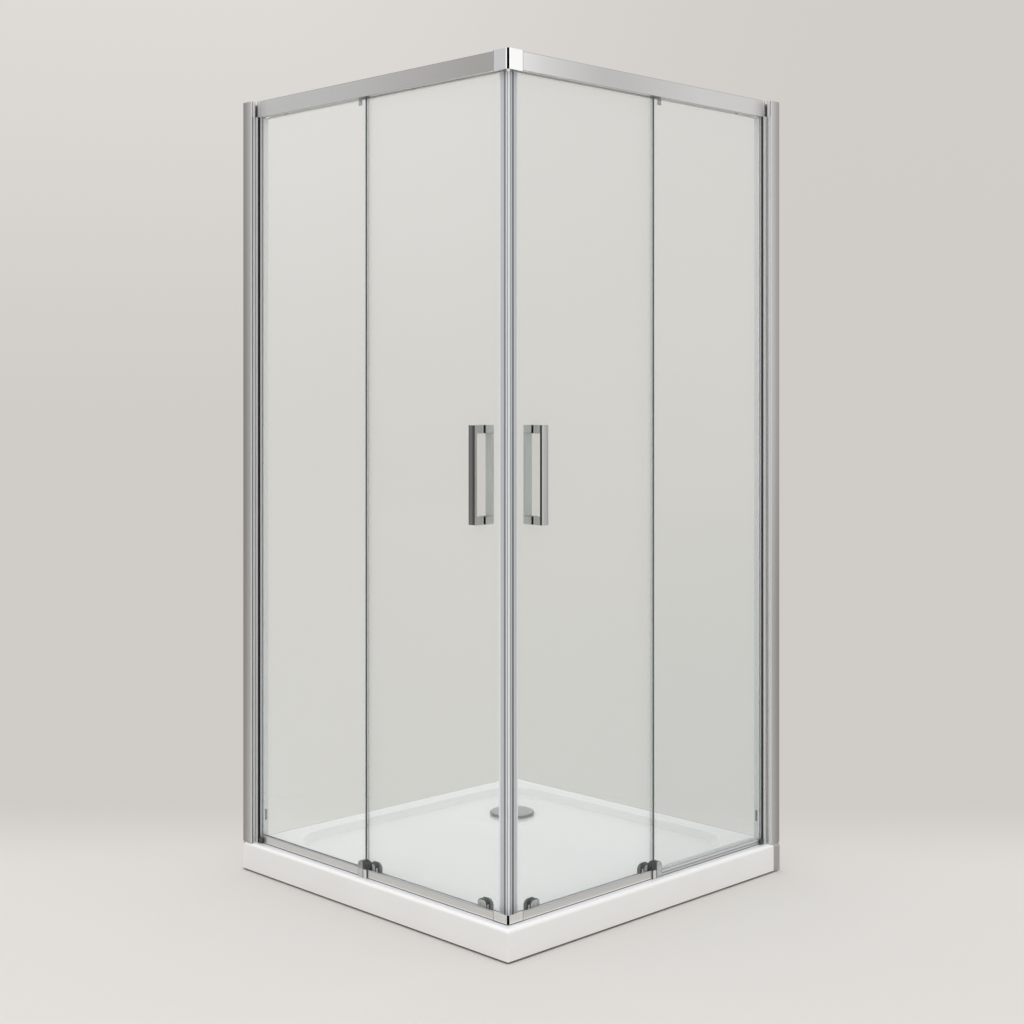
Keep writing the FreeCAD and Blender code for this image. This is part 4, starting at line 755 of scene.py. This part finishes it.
# %% [markdown]
# Clear toughened glass could be a true glass shader, but then the light that reaches the tray would have to
# be traced through it. A see-through shader under a thin bloom of gloss is quicker and reads the same: seen
# square on, it tints what is behind it, a little more towards the floor, and the bloom grows towards a
# grazing angle. The ground edge is another matter. There the eye looks along the sheet, through half a
# metre of glass, so it is a dark sea green. The normal tells an edge from a face, once it is known which
# way the sheet faces.

# %% Glass
FACE_TINT = (0.995, 0.998, 0.990, 1.0)
LOW_TINTS = {
    "fixed_pane_left": (0.986, 0.997, 0.991, 1.0),
    "fixed_pane_right": (0.936, 0.954, 0.947, 1.0),
    "door_left": (0.970, 0.982, 0.976, 1.0),
    "door_right": (0.965, 0.981, 0.975, 1.0),
}
FACE_BLOOM = (0.90, 0.93, 0.94, 1.0)
EDGE_DARK = (0.012, 0.032, 0.036, 1.0)
EDGE_LIT = (0.050, 0.088, 0.092, 1.0)
TINT_HEIGHTS = (0.1, 1.6)
PAD_BAND = (HANDLE_NEAR - 0.006, HANDLE_NEAR + HANDLE_WIDTH + 0.002)


def see_through(finish, tint):
    return finish.node("ShaderNodeBsdfTransparent", {}, {"Color": tint})


def pane_bloom(finish, part, reach, height):
    """The share of gloss on a face; none over a door's handle pads, which touch the glass."""
    graze = finish.node("ShaderNodeLayerWeight", {}, {"Blend": 0.18}, output="Fresnel")
    haze = finish.noise(finish.place(), 3.0, detail=3.0)
    bloom = graze * 0.12 + haze * 0.02 + 0.10
    if part == "door":
        arms = line(height, handle_low.z, ARM_TOP) + line(height, ARM_FOOT, handle_high.z)
        bloom = bloom * (1 - arms * line(reach, *PAD_BAND))
    return bloom


def pane_glass(part, side, edge_share):
    """Glass for one sheet: see-through under a bloom, and dark at its ground edge by a share."""
    finish = Finish("%s_glass_%s" % (part, side))
    reach, _, height = side_places(finish, side)
    tint = finish.blend(height.smooth_between(*TINT_HEIGHTS), LOW_TINTS[part + "_" + side], FACE_TINT)
    gloss = finish.shader(Base_Color=FACE_BLOOM, Roughness=0.02, Metallic=0.0)
    face = finish.mixed(pane_bloom(finish, part, reach, height), see_through(finish, tint), gloss)
    edge = abs(looking(finish, OUTWARD[side])).fade_between(0.3, 0.95)
    streak = finish.noise(finish.stretched((240.0, 240.0, 9.0)), 1.0, detail=2.0)
    ground = finish.shader(Base_Color=finish.blend(streak, EDGE_DARK, EDGE_LIT), Roughness=0.22)
    return finish.surface(finish.mixed(edge * edge_share, face, ground))


fixed_glass = {side: pane_glass("fixed_pane", side, 1.0) for side in SIDES}
door_glass = {side: pane_glass("door", side, 0.30) for side in SIDES}
print("finish:", [item.name for item in (*fixed_glass.values(), *door_glass.values())])

# %% [markdown]
# The lips along the panes' edges and the clips at the top are clear flexible plastic. In so thin a wall it
# is milky rather than clear: nearly all of it is see-through, and a small share is a soft, slightly cool
# body with faint lines along its length, as it is drawn through a die too. The clips are thicker, so more
# of their body shows, and it is darker.

# %% Clear plastic
DRAWN_UP = (900.0, 900.0, 6.0)


def deeper(colour, share):
    """The same colour, darker."""
    return tuple(share * part for part in colour[:3]) + (1.0,)


def milky(name, tint, body_colour, share, roughness):
    """Soft plastic, see-through but for a share of body."""
    finish = Finish(name)
    draw = finish.noise(finish.stretched(DRAWN_UP), 1.0, detail=2.0)
    colour = finish.blend(draw, body_colour, deeper(body_colour, 0.86))
    body = finish.shader(Base_Color=colour, Roughness=roughness, Normal=finish.bump(draw, 0.0001, 0.4))
    return finish.surface(finish.mixed(share * (0.2 + draw * 1.6), see_through(finish, tint), body))


seal_fine = milky("seal_fine", (0.995, 0.998, 0.998, 1.0), (0.96, 0.97, 0.97, 1.0), 0.045, 0.10)
clip_clear = milky("clip_clear", (0.94, 0.95, 0.95, 1.0), (0.22, 0.23, 0.23, 1.0), 0.40, 0.15)
print("finish:", seal_fine.name, clip_clear.name)

# %% [markdown]
# The seals that close the doors on each other are a different thing: a clear tube with ribs, and a magnet
# strip in a chamber of it. Clear plastic in ribs works as a row of lenses, so what one sees from any side
# is a set of upright stripes, white, slate and grey, whatever stands behind. Here those stripes are painted:
# the light and shade that the ribs bend, with the dark magnet strip among them. They are laid out by the
# distance from the corner, which is how the ribs lie on the real section.

# %% Magnetic seals
SEAL_START = 0.042
SEAL_WIDTH = 0.032
STRIPES = {
    "left": ((0.0, 0.92), (1.0, 0.90), (1.8, 0.30), (4.2, 0.30), (5.0, 0.90), (7.6, 0.88), (8.4, 0.20),
             (14.0, 0.18), (15.4, 0.44), (18.2, 0.64), (21.0, 0.56), (23.5, 0.53), (26.0, 0.65), (31.0, 0.86)),
    "right": ((0.0, 0.95), (4.2, 0.94), (5.2, 0.36), (8.0, 0.38), (8.8, 0.66), (11.8, 0.60), (12.8, 0.21),
              (18.0, 0.14), (19.2, 0.34), (21.2, 0.66), (23.4, 0.66), (25.0, 0.50), (27.2, 0.56), (29.0, 0.72),
              (31.0, 0.86)),
}
LESS_RED, MORE_BLUE = 0.975, 1.045
SEAL_TINT = (0.93, 0.95, 0.97, 1.0)


def ribbed_seal(side):
    """Painted stripes of bent light and shade, slightly blue, by distance from the corner, with a little of
    what stands behind.
    """
    finish = Finish("ribbed_seal_" + side)
    reach, _, _ = side_places(finish, side)
    stops = [(millimetres / (1000 * SEAL_WIDTH), (level * LESS_RED, level, level * MORE_BLUE, 1.0))
             for millimetres, level in STRIPES[side]]
    ribs = ramp(finish, (reach - SEAL_START) / SEAL_WIDTH, stops)
    draw = finish.noise(finish.stretched(DRAWN_UP), 1.0, detail=2.0)
    body = finish.shader(Base_Color=ribs, Roughness=0.18, Normal=finish.bump(draw, 0.0001, 0.3))
    return finish.surface(finish.mixed(0.84 + draw * 0.10, see_through(finish, SEAL_TINT), body))


ribbed_seals = {side: ribbed_seal(side) for side in SIDES}
print("finish:", [item.name for item in ribbed_seals.values()])

# %% [markdown]
# A gasket holds each fixed pane in its post: black rubber on the outside and clear rubber beside it. Both
# are one extrusion here, so their line is drawn by depth, as the lines on the wall profile's cheek are.

# %% Pane gaskets
# By depth in millimetres: black rubber, then clear rubber, painted paler at the deep end against the shade in
# the slot.
GASKET_LEVELS = {
    "left": ((0.0, 0.004), (1.0, 0.004), (1.8, 0.56), (5.0, 0.54), (6.4, 0.62), (9.0, 0.80), (14.0, 0.80)),
    "right": ((0.0, 0.002), (3.8, 0.002), (4.8, 0.70), (6.4, 0.80), (9.0, 0.96), (14.0, 0.96)),
}
GASKET_DEPTH = 0.020
GASKET_WIDTH = 0.014


def pane_gasket(side):
    finish = Finish("pane_gasket_" + side)
    _, depth, _ = side_places(finish, side)
    grain = finish.noise(finish.place(), 900.0, detail=3.0)
    colour = shades(finish, depth, GASKET_DEPTH, GASKET_WIDTH, GASKET_LEVELS[side], warmth=-0.01)
    return finish.skin(colour, 0.45 + grain * 0.2, finish.bump(grain, RUBBER_HEIGHT, 0.4))


pane_gaskets = {side: pane_gasket(side) for side in SIDES}
print("finish:", [item.name for item in pane_gaskets.values()])

# %% [markdown]
# The tray is a vacuum-formed acrylic sheet: white, glossy, and never quite flat, so the light runs over it
# in slow waves, which are painted into its colour as well as its bump, and a very fine grain dulls it a
# little. One paint covers the whole shell, with light and shade painted into it. The ledge in front of the
# rails is painted whitest, as a highlight, the basin behind them is a step greyer, and the apron that faces
# the room on the right is painted brighter than the one on the left, as the side that takes more light. A
# hairline closes it off at the walls and at the floor, and beside the grey trim at the apron's end it is as
# grey as the trim.

# %% Tray acrylic
trim_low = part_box("apron_end_trim")[0]
TRIM_START = trim_low.y + HALF_TRAY
TRIM_DEPTH = HALF_TRAY - trim_low.x
TRIM_ALONG = (TRIM_START - 0.0005, TRIM_START)
TRIM_INWARD = (TRIM_DEPTH, TRIM_DEPTH + 0.002)
TRIM_GREY = (0.40, 0.39, 0.375, 1.0)
LEDGE_END = (RAIL_FACE, RAIL_FACE + 0.002)
AT_THE_WALL = (0.993, 0.994)
FOOT_LINE = (tray_low.z + 0.0010, tray_low.z + 0.0018)
FOOT_SHADE = (0.09, 0.075, 0.065, 1.0)
APRON_PAINTS = ((0.80, 0.79, 0.775, 1.0), (0.86, 0.855, 0.84, 1.0))
BASIN_PAINTS = ((0.784, 0.765, 0.756, 1.0), (0.823, 0.804, 0.795, 1.0))


def tray_paint(finish, wave):
    """The colour of the shell: apron or basin by the way it looks, then the ledge and the hairlines."""
    _, from_left, height = side_places(finish, "left")
    _, from_right, _ = side_places(finish, "right")
    up = looking(finish, (0.0, 0.0, 1.0)).smooth_between(0.12, 0.70)
    to_right = looking(finish, OUTWARD["right"]).smooth_between(0.5, 0.9)
    # The apron that looks right is painted brighter, as the side that takes more light.
    apron = finish.blend(to_right * 0.35, finish.blend(wave, *APRON_PAINTS), grey(0.96, 0.01))
    # The ledge in front of the rails is painted whitest, as a painted highlight.
    ledge = 1 - from_left.smooth_between(*LEDGE_END) * from_right.smooth_between(*LEDGE_END)
    basin = finish.blend(ledge, finish.blend(wave, *BASIN_PAINTS), grey(0.985))
    colour = finish.blend(up, apron, basin)
    walls = 1 - from_left.fade_between(*AT_THE_WALL) * from_right.fade_between(*AT_THE_WALL)
    colour = finish.blend(walls * up, colour, grey(0.40))
    trim = from_left.smooth_between(*TRIM_ALONG) * from_right.fade_between(*TRIM_INWARD)
    colour = finish.blend(trim, colour, TRIM_GREY)
    return finish.blend(height.fade_between(*FOOT_LINE), colour, FOOT_SHADE)


def acrylic(name):
    finish = Finish(name)
    wave = finish.noise(finish.place(), 4.0, detail=1.0)
    grain = finish.noise(finish.place(), 900.0, detail=2.0)
    height = finish.bump(wave * 0.8 + grain * 0.004, 0.004, 0.10)
    return finish.skin(tray_paint(finish, wave), 0.22 + grain * 0.10, height, Coat_Weight=0.35,
                       Coat_Roughness=0.08)


tray_acrylic = acrylic("tray_acrylic")
print("finish:", tray_acrylic.name, "with its trim from %.4f m" % TRIM_START)

# %% [markdown]
# The small fittings are rubber and moulded plastic. A mould is spark-eroded, which leaves a fine grain on
# all that comes out of it, so one recipe serves them all, with a colour, a roughness and a grain size for
# each. The board under the basin is chipboard, and a cell pattern gives its chips.

# %% Rubber, moulded plastic and board
# Each has its colour, its roughness, and the size and depth of its grain in metres.
MOULDINGS = {
    "black_rubber": ((0.022, 0.022, 0.023, 1.0), 0.62, 0.0008, 0.00008),
    "magnet_rubber": ((0.055, 0.062, 0.085, 1.0), 0.5, 0.0010, 0.00008),
    "dark_plastic": ((0.075, 0.075, 0.075, 1.0), 0.5, 0.0006, 0.00010),
    "foot_plastic": ((0.03, 0.03, 0.03, 1.0), 0.6, 0.0010, 0.00015),
    "waste_plastic": ((0.74, 0.74, 0.73, 1.0), 0.4, 0.0010, 0.00008),
    "wheel_plastic": ((0.78, 0.78, 0.76, 1.0), 0.32, 0.0008, 0.00004),
    "guide_plastic": ((0.36, 0.37, 0.36, 1.0), 0.42, 0.0007, 0.00018),
    "trim_grey": (TRIM_GREY, 0.45, 0.0008, 0.00008),
}


def moulded(name, colour, roughness, grain_size, depth):
    finish = Finish(name)
    grain = finish.noise(finish.place(), 1.0 / grain_size, detail=3.0, roughness=0.6)
    toned = finish.blend(finish.noise(finish.place(), 40.0), deeper(colour, 0.84), colour)
    return finish.skin(toned, roughness - 0.08 + grain * 0.16, finish.bump(grain, depth, 0.5))


def chipboard(name):
    finish = Finish(name)
    inputs = {"Vector": finish.stretched((90.0, 140.0, 120.0)), "Scale": 1.0}
    tone = finish.axis(finish.node("ShaderNodeTexVoronoi", {}, inputs, output="Color"), "X")
    colour = finish.blend(tone, (0.36, 0.25, 0.14, 1.0), (0.62, 0.49, 0.32, 1.0))
    return finish.skin(colour, 0.85, finish.bump(tone, 0.0006, 0.5))


mouldings = {name: moulded(name, *recipe) for name, recipe in MOULDINGS.items()}
base_board = chipboard("base_board")
print("finish:", sorted(mouldings), base_board.name)

# %% [markdown]
# The guides and the pane clips have a coarser skin, mottled and rough, that a wet hand can grip. The patches
# and the skin are tools of their own, because the clips need them with other colours.

# %% Grained plastic
def mottle(finish):
    """Patches a few millimetres across, from 0 to 1."""
    return finish.noise(finish.stretched((420.0, 420.0, 130.0)), 1.0, detail=3.0).smooth_between(0.35, 0.65)


def rough_skin(finish, colour):
    grain = finish.noise(finish.place(), 1300.0, detail=3.0)
    return finish.skin(colour, 0.36 + grain * 0.16, finish.bump(grain, 0.00018, 0.5))


def grained(name, low, high):
    finish = Finish(name)
    return rough_skin(finish, finish.blend(mottle(finish), low, high))


guide_face = grained("guide_face", (0.33, 0.34, 0.325, 1.0), (0.60, 0.61, 0.59, 1.0))
guide_rim = grained("guide_rim", (0.022, 0.028, 0.028, 1.0), (0.075, 0.085, 0.082, 1.0))
print("finish:", guide_face.name, guide_rim.name)

# %% [markdown]
# A pane clip is one moulding, but it has three shades: its plate is pale, its hook round the pane's edge is
# nearly black, and what stands in front of the rail is as grey as the rail. They could be three materials,
# but their borders follow no edge of the mesh, so one finish picks them by place.

# %% Clip plastic
CLIP_PLATE = 0.0190
CLIP_HOOK = CLIP_END - CLIP_PLATE
HOOK_EDGE = (CLIP_HOOK - 0.0008, CLIP_HOOK)
HOOK_LINE = (CLIP_HOOK - 0.0018, CLIP_HOOK + 0.0010)
CLIP_FOOT = (sill_high.z - 0.0010, sill_high.z)
# The plates are painted darker on the left than on the right, a shaded and a lit copy of one plastic.
PLATE_LEVELS = {"left": (0.16, 0.36), "right": (0.34, 0.58)}
BEFORE_RAIL_LEVEL = {"left": 0.66, "right": 0.62}


def clip_plastic(side):
    finish = Finish("clip_plastic_" + side)
    reach, _, height = side_places(finish, side)
    plate = finish.blend(mottle(finish), *(grey(level, -0.02) for level in PLATE_LEVELS[side]))
    hook = reach.fade_between(*HOOK_EDGE)
    foot = height.fade_between(*CLIP_FOOT)
    hook_shade = finish.blend(foot, grey(0.030), grey(BEFORE_RAIL_LEVEL[side]))
    colour = finish.blend(hook, plate, hook_shade)
    if side == "left":
        colour = finish.blend(foot * (1 - hook), colour, grey(0.50))
    colour = finish.blend(line(reach, *HOOK_LINE), colour, grey(0.06))
    return rough_skin(finish, colour)


clip_plastics = {side: clip_plastic(side) for side in SIDES}
print("finish:", [item.name for item in clip_plastics.values()])

# %% [markdown]
# The waste cover is steel that is brushed while it spins, so its fine lines run in rings. A noise that
# reads nothing but the distance from the centre draws them.

# %% Turned steel for the waste cover
RINGS_PER_METRE = 2200.0


def turned_steel(name, centre):
    finish = Finish(name)
    around = finish.node("ShaderNodeVectorMath", {"operation": "SUBTRACT"}, {0: finish.place(), 1: centre})
    flat = finish.node("ShaderNodeVectorMath", {"operation": "MULTIPLY"}, {0: around, 1: (1.0, 1.0, 0.0)})
    ring = finish.node("ShaderNodeCombineXYZ", {}, {"X": length(finish, flat) * RINGS_PER_METRE})
    lines = finish.noise(ring, 1.0, detail=3.0)
    colour = finish.blend(lines, (0.20, 0.21, 0.20, 1.0), (0.32, 0.33, 0.315, 1.0))
    return finish.skin(colour, 0.26 + lines * 0.14, finish.bump(lines, 0.00003, 0.5), Metallic=1.0)


cover_low, cover_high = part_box("waste_cover")
cover_centre = (cover_low + cover_high) / 2
waste_steel = turned_steel("waste_steel", tuple(cover_centre))
print("waste cover centre:", [round(part, 3) for part in cover_centre])

# %% [markdown]
# Every solid now takes the finish of its material. The record names a material slot for each node, so one
# table from slot to finish dresses nearly all of them. The rails, panes, seals and handles instead get the
# variant that suits their side, and the clips on top of the frame are clear.

# %% Dress the solids
by_slot = {
    **mouldings,
    "tray_acrylic": tray_acrylic,
    "base_board": base_board,
    "waste_steel": waste_steel,
    "polished_chrome": connector_chrome,
    "satin_aluminium": side_posts["left"],
    "screw_steel": screw_steel,
    "clear_seal": seal_fine,
}
by_part = {
    "top_rail": top_rails,
    "bottom_rail": bottom_rails,
    "pane_sill": bottom_rails,
    "wall_profile": wall_profiles,
    "side_post": side_posts,
    "fixed_pane": fixed_glass,
    "door_glass": door_glass,
    "magnetic_seal": ribbed_seals,
    "pane_gasket": pane_gaskets,
    "handle_gaskets": handle_gaskets,
    "handle_outer": handle_metals["outer"],
    "handle_inner": handle_metals["inner"],
}


def finish_of(node, slot):
    """The finish of one solid, from its part and side, or else from its slot."""
    side, _, part = node.partition("_")
    if part in by_part:
        return by_part[part][side]
    if node == "top_clips":
        return clip_clear
    return by_slot[slot]


for entry in frame["record"]["subparts"]:
    materials = frame["nodes"][entry["node"]].data.materials
    materials.clear()
    materials.append(finish_of(entry["node"], entry["material_slot"]))
print("dressed:", len(frame["nodes"]), "solids")

# %% [markdown]
# Some small fittings deserve more shape than the solids have: moulded guides, the clips at the foot of the
# fixed panes and the waste cover. Each is built standing on the left side's ruler, along, inward and up,
# and then turned onto its side of the enclosure. The left side is a mirror image, which turns faces inside
# out, so normals are worked out again after the doubles are merged.

# %% Tools for the new pieces
TO_SIDE = {
    "left": Matrix(((-1, 0, 0, HALF_TRAY), (0, 1, 0, -HALF_TRAY), (0, 0, 1, 0), (0, 0, 0, 1))),
    "right": Matrix(((0, -1, 0, HALF_TRAY), (1, 0, 0, -HALF_TRAY), (0, 0, 1, 0), (0, 0, 0, 1))),
}
OUT = Vector((0.0, -1.0, 0.0))
TINY = 1e-5
MERGE = 1e-6


def block(bm, low, high):
    """A box between two corners; returns its vertices."""
    low, high = Vector(low), Vector(high)
    corners = bmesh.ops.create_cube(bm, size=1.0)["verts"]
    bmesh.ops.scale(bm, vec=high - low, verts=corners)
    bmesh.ops.translate(bm, vec=(low + high) / 2, verts=corners)
    return corners


def inward_edges(bm, top, verts=None):
    """The edges at the top of a piece that run straight inward, among some vertices or among all."""
    level = [edge for edge in bm.edges if all(vert.co.z > top - TINY for vert in edge.verts)]
    return [edge for edge in level if (verts is None or edge.verts[0] in verts)
            and abs(edge.verts[0].co.x - edge.verts[1].co.x) < TINY]


def rounded(bm, edges, radius, segments=8):
    bmesh.ops.bevel(bm, geom=edges, offset=radius, segments=segments, affect="EDGES", profile=0.5, material=-1)


def raised(grown):
    """The vertices of what an extrusion made."""
    return [item for item in grown["geom"] if isinstance(item, bmesh.types.BMVert)]


def settle(bm, name, body, materials, replaced, smooth_angle=35.0):
    """Turns a finished bmesh into an object that rides a body and stands for solids."""
    bmesh.ops.remove_doubles(bm, verts=bm.verts, dist=MERGE)
    bmesh.ops.recalc_face_normals(bm, faces=bm.faces)
    for edge in bm.edges:
        edge.smooth = edge.calc_face_angle(0.0) < math.radians(smooth_angle)
    for face in bm.faces:
        face.smooth = True
    mesh = bpy.data.meshes.new(name)
    bm.to_mesh(mesh)
    bm.free()
    for material in materials:
        mesh.materials.append(material)
    piece = bpy.data.objects.new(name, mesh)
    bpy.context.scene.collection.objects.link(piece)
    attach(piece, body)
    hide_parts(*replaced)
    print("piece: %s, %d faces" % (name, len(mesh.polygons)))


def paint_rims(bm, fields):
    """The first material on some faces and the second on all others."""
    for face in bm.faces:
        face.material_index = 0 if face in fields else 1


print("tools: block, rounded, settle and the rest")

# %% [markdown]
# Each door has two guides at its foot. A cap stands outside the glass and is held by a stud through it. It
# is moulded with big rounds, so from the front it is an arch. A box with its top corners bevelled makes the
# arch, an inset gives the pressed-in field, and the rim round the field takes the dark plastic.

# %% Guide caps
cap_low, cap_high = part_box("right_guide_caps")
GUIDE_WIDTH = 0.030
CAP_PLATE = 0.0060
CAP_ARCH = 0.0105
FIELD_RIM = 0.0016
FIELD_DEPTH = 0.0010
STUD_RADIUS = 0.0045
STUD_LENGTH = 0.0115
STUD_PLACE = (GUIDE_WIDTH / 2, CAP_PLATE + 0.00475, 0.0965)
CHEEK_AREA = 2e-5
guide_starts = (cap_low.y + HALF_TRAY, cap_high.y + HALF_TRAY - GUIDE_WIDTH)
cap_face = HALF_TRAY - cap_high.x


def guide_cap(bm, start):
    """An arched plate on its stud; returns its pressed field."""
    verts = block(bm, (start, cap_face, cap_low.z), (start + GUIDE_WIDTH, cap_face + CAP_PLATE, cap_high.z))
    rounded(bm, inward_edges(bm, cap_high.z, verts), CAP_ARCH)
    bm.normal_update()
    mine = [face for face in bm.faces if face.calc_center_median().x >= start]
    front = max(mine, key=lambda face: (face.normal.dot(OUT), face.calc_area()))
    bmesh.ops.inset_region(bm, faces=[front], thickness=FIELD_RIM, depth=FIELD_DEPTH)
    stud = bmesh.ops.create_cone(bm, cap_ends=True, segments=24, radius1=STUD_RADIUS, radius2=STUD_RADIUS,
                                 depth=STUD_LENGTH)["verts"]
    bmesh.ops.rotate(bm, cent=(0, 0, 0), matrix=Matrix.Rotation(math.radians(90), 3, "X"), verts=stud)
    bmesh.ops.translate(bm, verts=stud, vec=Vector((start, cap_face, 0.0)) + Vector(STUD_PLACE))
    return front


def guide_caps(side):
    """Both caps of one door: their fields and the cheeks that look to the corner are pale, the rest is dark."""
    caps = bmesh.new()
    fields = [guide_cap(caps, start) for start in sorted(guide_starts, reverse=True)]
    fields += [face for face in caps.faces if face.normal.x < -0.9 and face.calc_area() > CHEEK_AREA]
    paint_rims(caps, fields)
    caps.transform(TO_SIDE[side])
    settle(caps, side + "_guide_caps_moulded", side + "_door", (guide_face, guide_rim),
           (side + "_guide_caps",))


print("guides: from %.4f and %.4f m along each side" % guide_starts)

# %% [markdown]
# Behind each cap, inside the glass, stands a block whose foot runs in the rail. It could be two boxes, but
# one box whose lid is pulled up and drawn in is a closed solid: a full foot for the rail, and a slimmer
# part above it with the same round shoulders as the cap.

# %% Guide blocks
block_low, block_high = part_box("right_guide_blocks")
BLOCK_MARGIN = 0.001
BLOCK_NECK = 0.0045
BLOCK_ARCH = 0.0085
block_face = HALF_TRAY - block_high.x
block_back = HALF_TRAY - block_low.x


def guide_block(bm, start):
    """A foot that fills the rail's channel, under a neck with round shoulders."""
    verts = block(bm, (start + BLOCK_MARGIN, block_face, block_low.z),
                  (start + GUIDE_WIDTH - BLOCK_MARGIN, block_back, sill_high.z))
    lid = [face for face in bm.faces if all(vert in verts for vert in face.verts) and face.normal.z > 0.9]
    risen = raised(bmesh.ops.extrude_face_region(bm, geom=lid))
    bmesh.ops.delete(bm, geom=lid, context="FACES_ONLY")
    bmesh.ops.translate(bm, vec=(0, 0, block_high.z - sill_high.z), verts=risen)
    for vert in risen:
        vert.co.y = min(vert.co.y, block_face + BLOCK_NECK)
    rounded(bm, inward_edges(bm, block_high.z, risen), BLOCK_ARCH)


def guide_blocks(side):
    blocks = bmesh.new()
    for start in guide_starts:
        guide_block(blocks, start)
    paint_rims(blocks, [])
    blocks.transform(TO_SIDE[side])
    settle(blocks, side + "_guide_blocks_moulded", side + "_door", (guide_face, guide_rim),
           (side + "_guide_blocks",))


for side in SIDES:
    guide_caps(side)
    guide_blocks(side)

# %% [markdown]
# A clip holds the foot of each fixed pane. From above it is a hook round the pane's edge: an outer plate, a
# bridge past the edge and a shorter plate inside. Drawn as that outline and pulled up, with the top corners
# rounded off, it has the arched plate that the photograph shows. A narrow inset on the plate leaves a rim
# that takes the dark plastic, and the plate itself stays flush.

# %% Pane clips
CLIP_FACE = HALF_TRAY - clip_high.x
CLIP_BACK = HALF_TRAY - clip_low.x
CLIP_START = clip_low.y + HALF_TRAY
pane_low, pane_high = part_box("right_fixed_pane")
PANE_FACE = HALF_TRAY - pane_high.x
PANE_BACK = HALF_TRAY - pane_low.x
PANE_START = pane_low.y + HALF_TRAY
CLIP_ARCH = 0.0120
PLATE_RIM = 0.0007
hook = ((CLIP_START, CLIP_FACE), (CLIP_END, CLIP_FACE), (CLIP_END, PANE_FACE), (PANE_START, PANE_FACE),
        (PANE_START, PANE_BACK), (CLIP_END, PANE_BACK), (CLIP_END, CLIP_BACK), (CLIP_START, CLIP_BACK))

for side in SIDES:
    clip = bmesh.new()
    base = clip.faces.new([clip.verts.new((along_side, inward, clip_low.z)) for along_side, inward in hook])
    risen = raised(bmesh.ops.extrude_face_region(clip, geom=[base]))
    bmesh.ops.translate(clip, vec=(0, 0, clip_high.z - clip_low.z), verts=risen)
    ends = [edge for edge in inward_edges(clip, clip_high.z) if abs(edge.verts[0].co.x - PANE_START) > TINY]
    rounded(clip, ends, CLIP_ARCH)
    bmesh.ops.recalc_face_normals(clip, faces=clip.faces)
    plate = max((face for face in clip.faces if face.normal.y < -0.9), key=lambda face: face.calc_area())
    bmesh.ops.inset_region(clip, faces=[plate], thickness=PLATE_RIM, depth=0.0)
    paint_rims(clip, [plate])
    clip.transform(TO_SIDE[side])
    settle(clip, side + "_pane_clip_moulded", "base", (clip_plastics[side], guide_rim),
           (side + "_pane_clip",))

# %% [markdown]
# The waste cover is a pressed steel lid over the drain: barely domed, with a rolled edge that leaves a
# shadow gap round it. Half of its section spun once round the axis gives all of that at once.

# %% Waste cover
COVER_RADIUS = (cover_high.x - cover_low.x) / 2
COVER_HEIGHT = cover_high.z - cover_low.z
# Each point is a share of the radius and one of the height, from the top's middle to the middle inside.
LID = ((0.0, 1.0), (0.70, 0.985), (0.90, 0.955), (0.965, 0.90), (0.995, 0.80), (1.0, 0.70), (0.985, 0.60),
       (0.93, 0.56), (0.84, 0.56), (0.80, 0.45), (0.80, 0.0), (0.74, 0.0), (0.74, 0.48), (0.0, 0.50))
STEEL_SHARE = 0.955
STEEL_FOOT = 0.060

cover = bmesh.new()
section = [cover.verts.new((cover_centre.x + out * COVER_RADIUS, cover_centre.y,
                            cover_low.z + up * COVER_HEIGHT)) for out, up in LID]
rims = [cover.edges.new(pair) for pair in zip(section, section[1:])]
bmesh.ops.spin(cover, geom=section + rims, cent=cover_centre, axis=(0, 0, 1), angle=math.tau, steps=96,
               use_merge=True)
bmesh.ops.remove_doubles(cover, verts=cover.verts, dist=MERGE)
for face in cover.faces:
    middle = face.calc_center_median()
    within = (middle - cover_centre).xy.length < STEEL_SHARE * COVER_RADIUS
    face.material_index = 0 if within and middle.z > STEEL_FOOT else 1
waste_rim = grained("waste_rim", (0.05, 0.055, 0.053, 1.0), (0.12, 0.125, 0.12, 1.0))
settle(cover, "waste_cover_pressed", "base", (waste_steel, waste_rim), ("waste_cover",), 50.0)
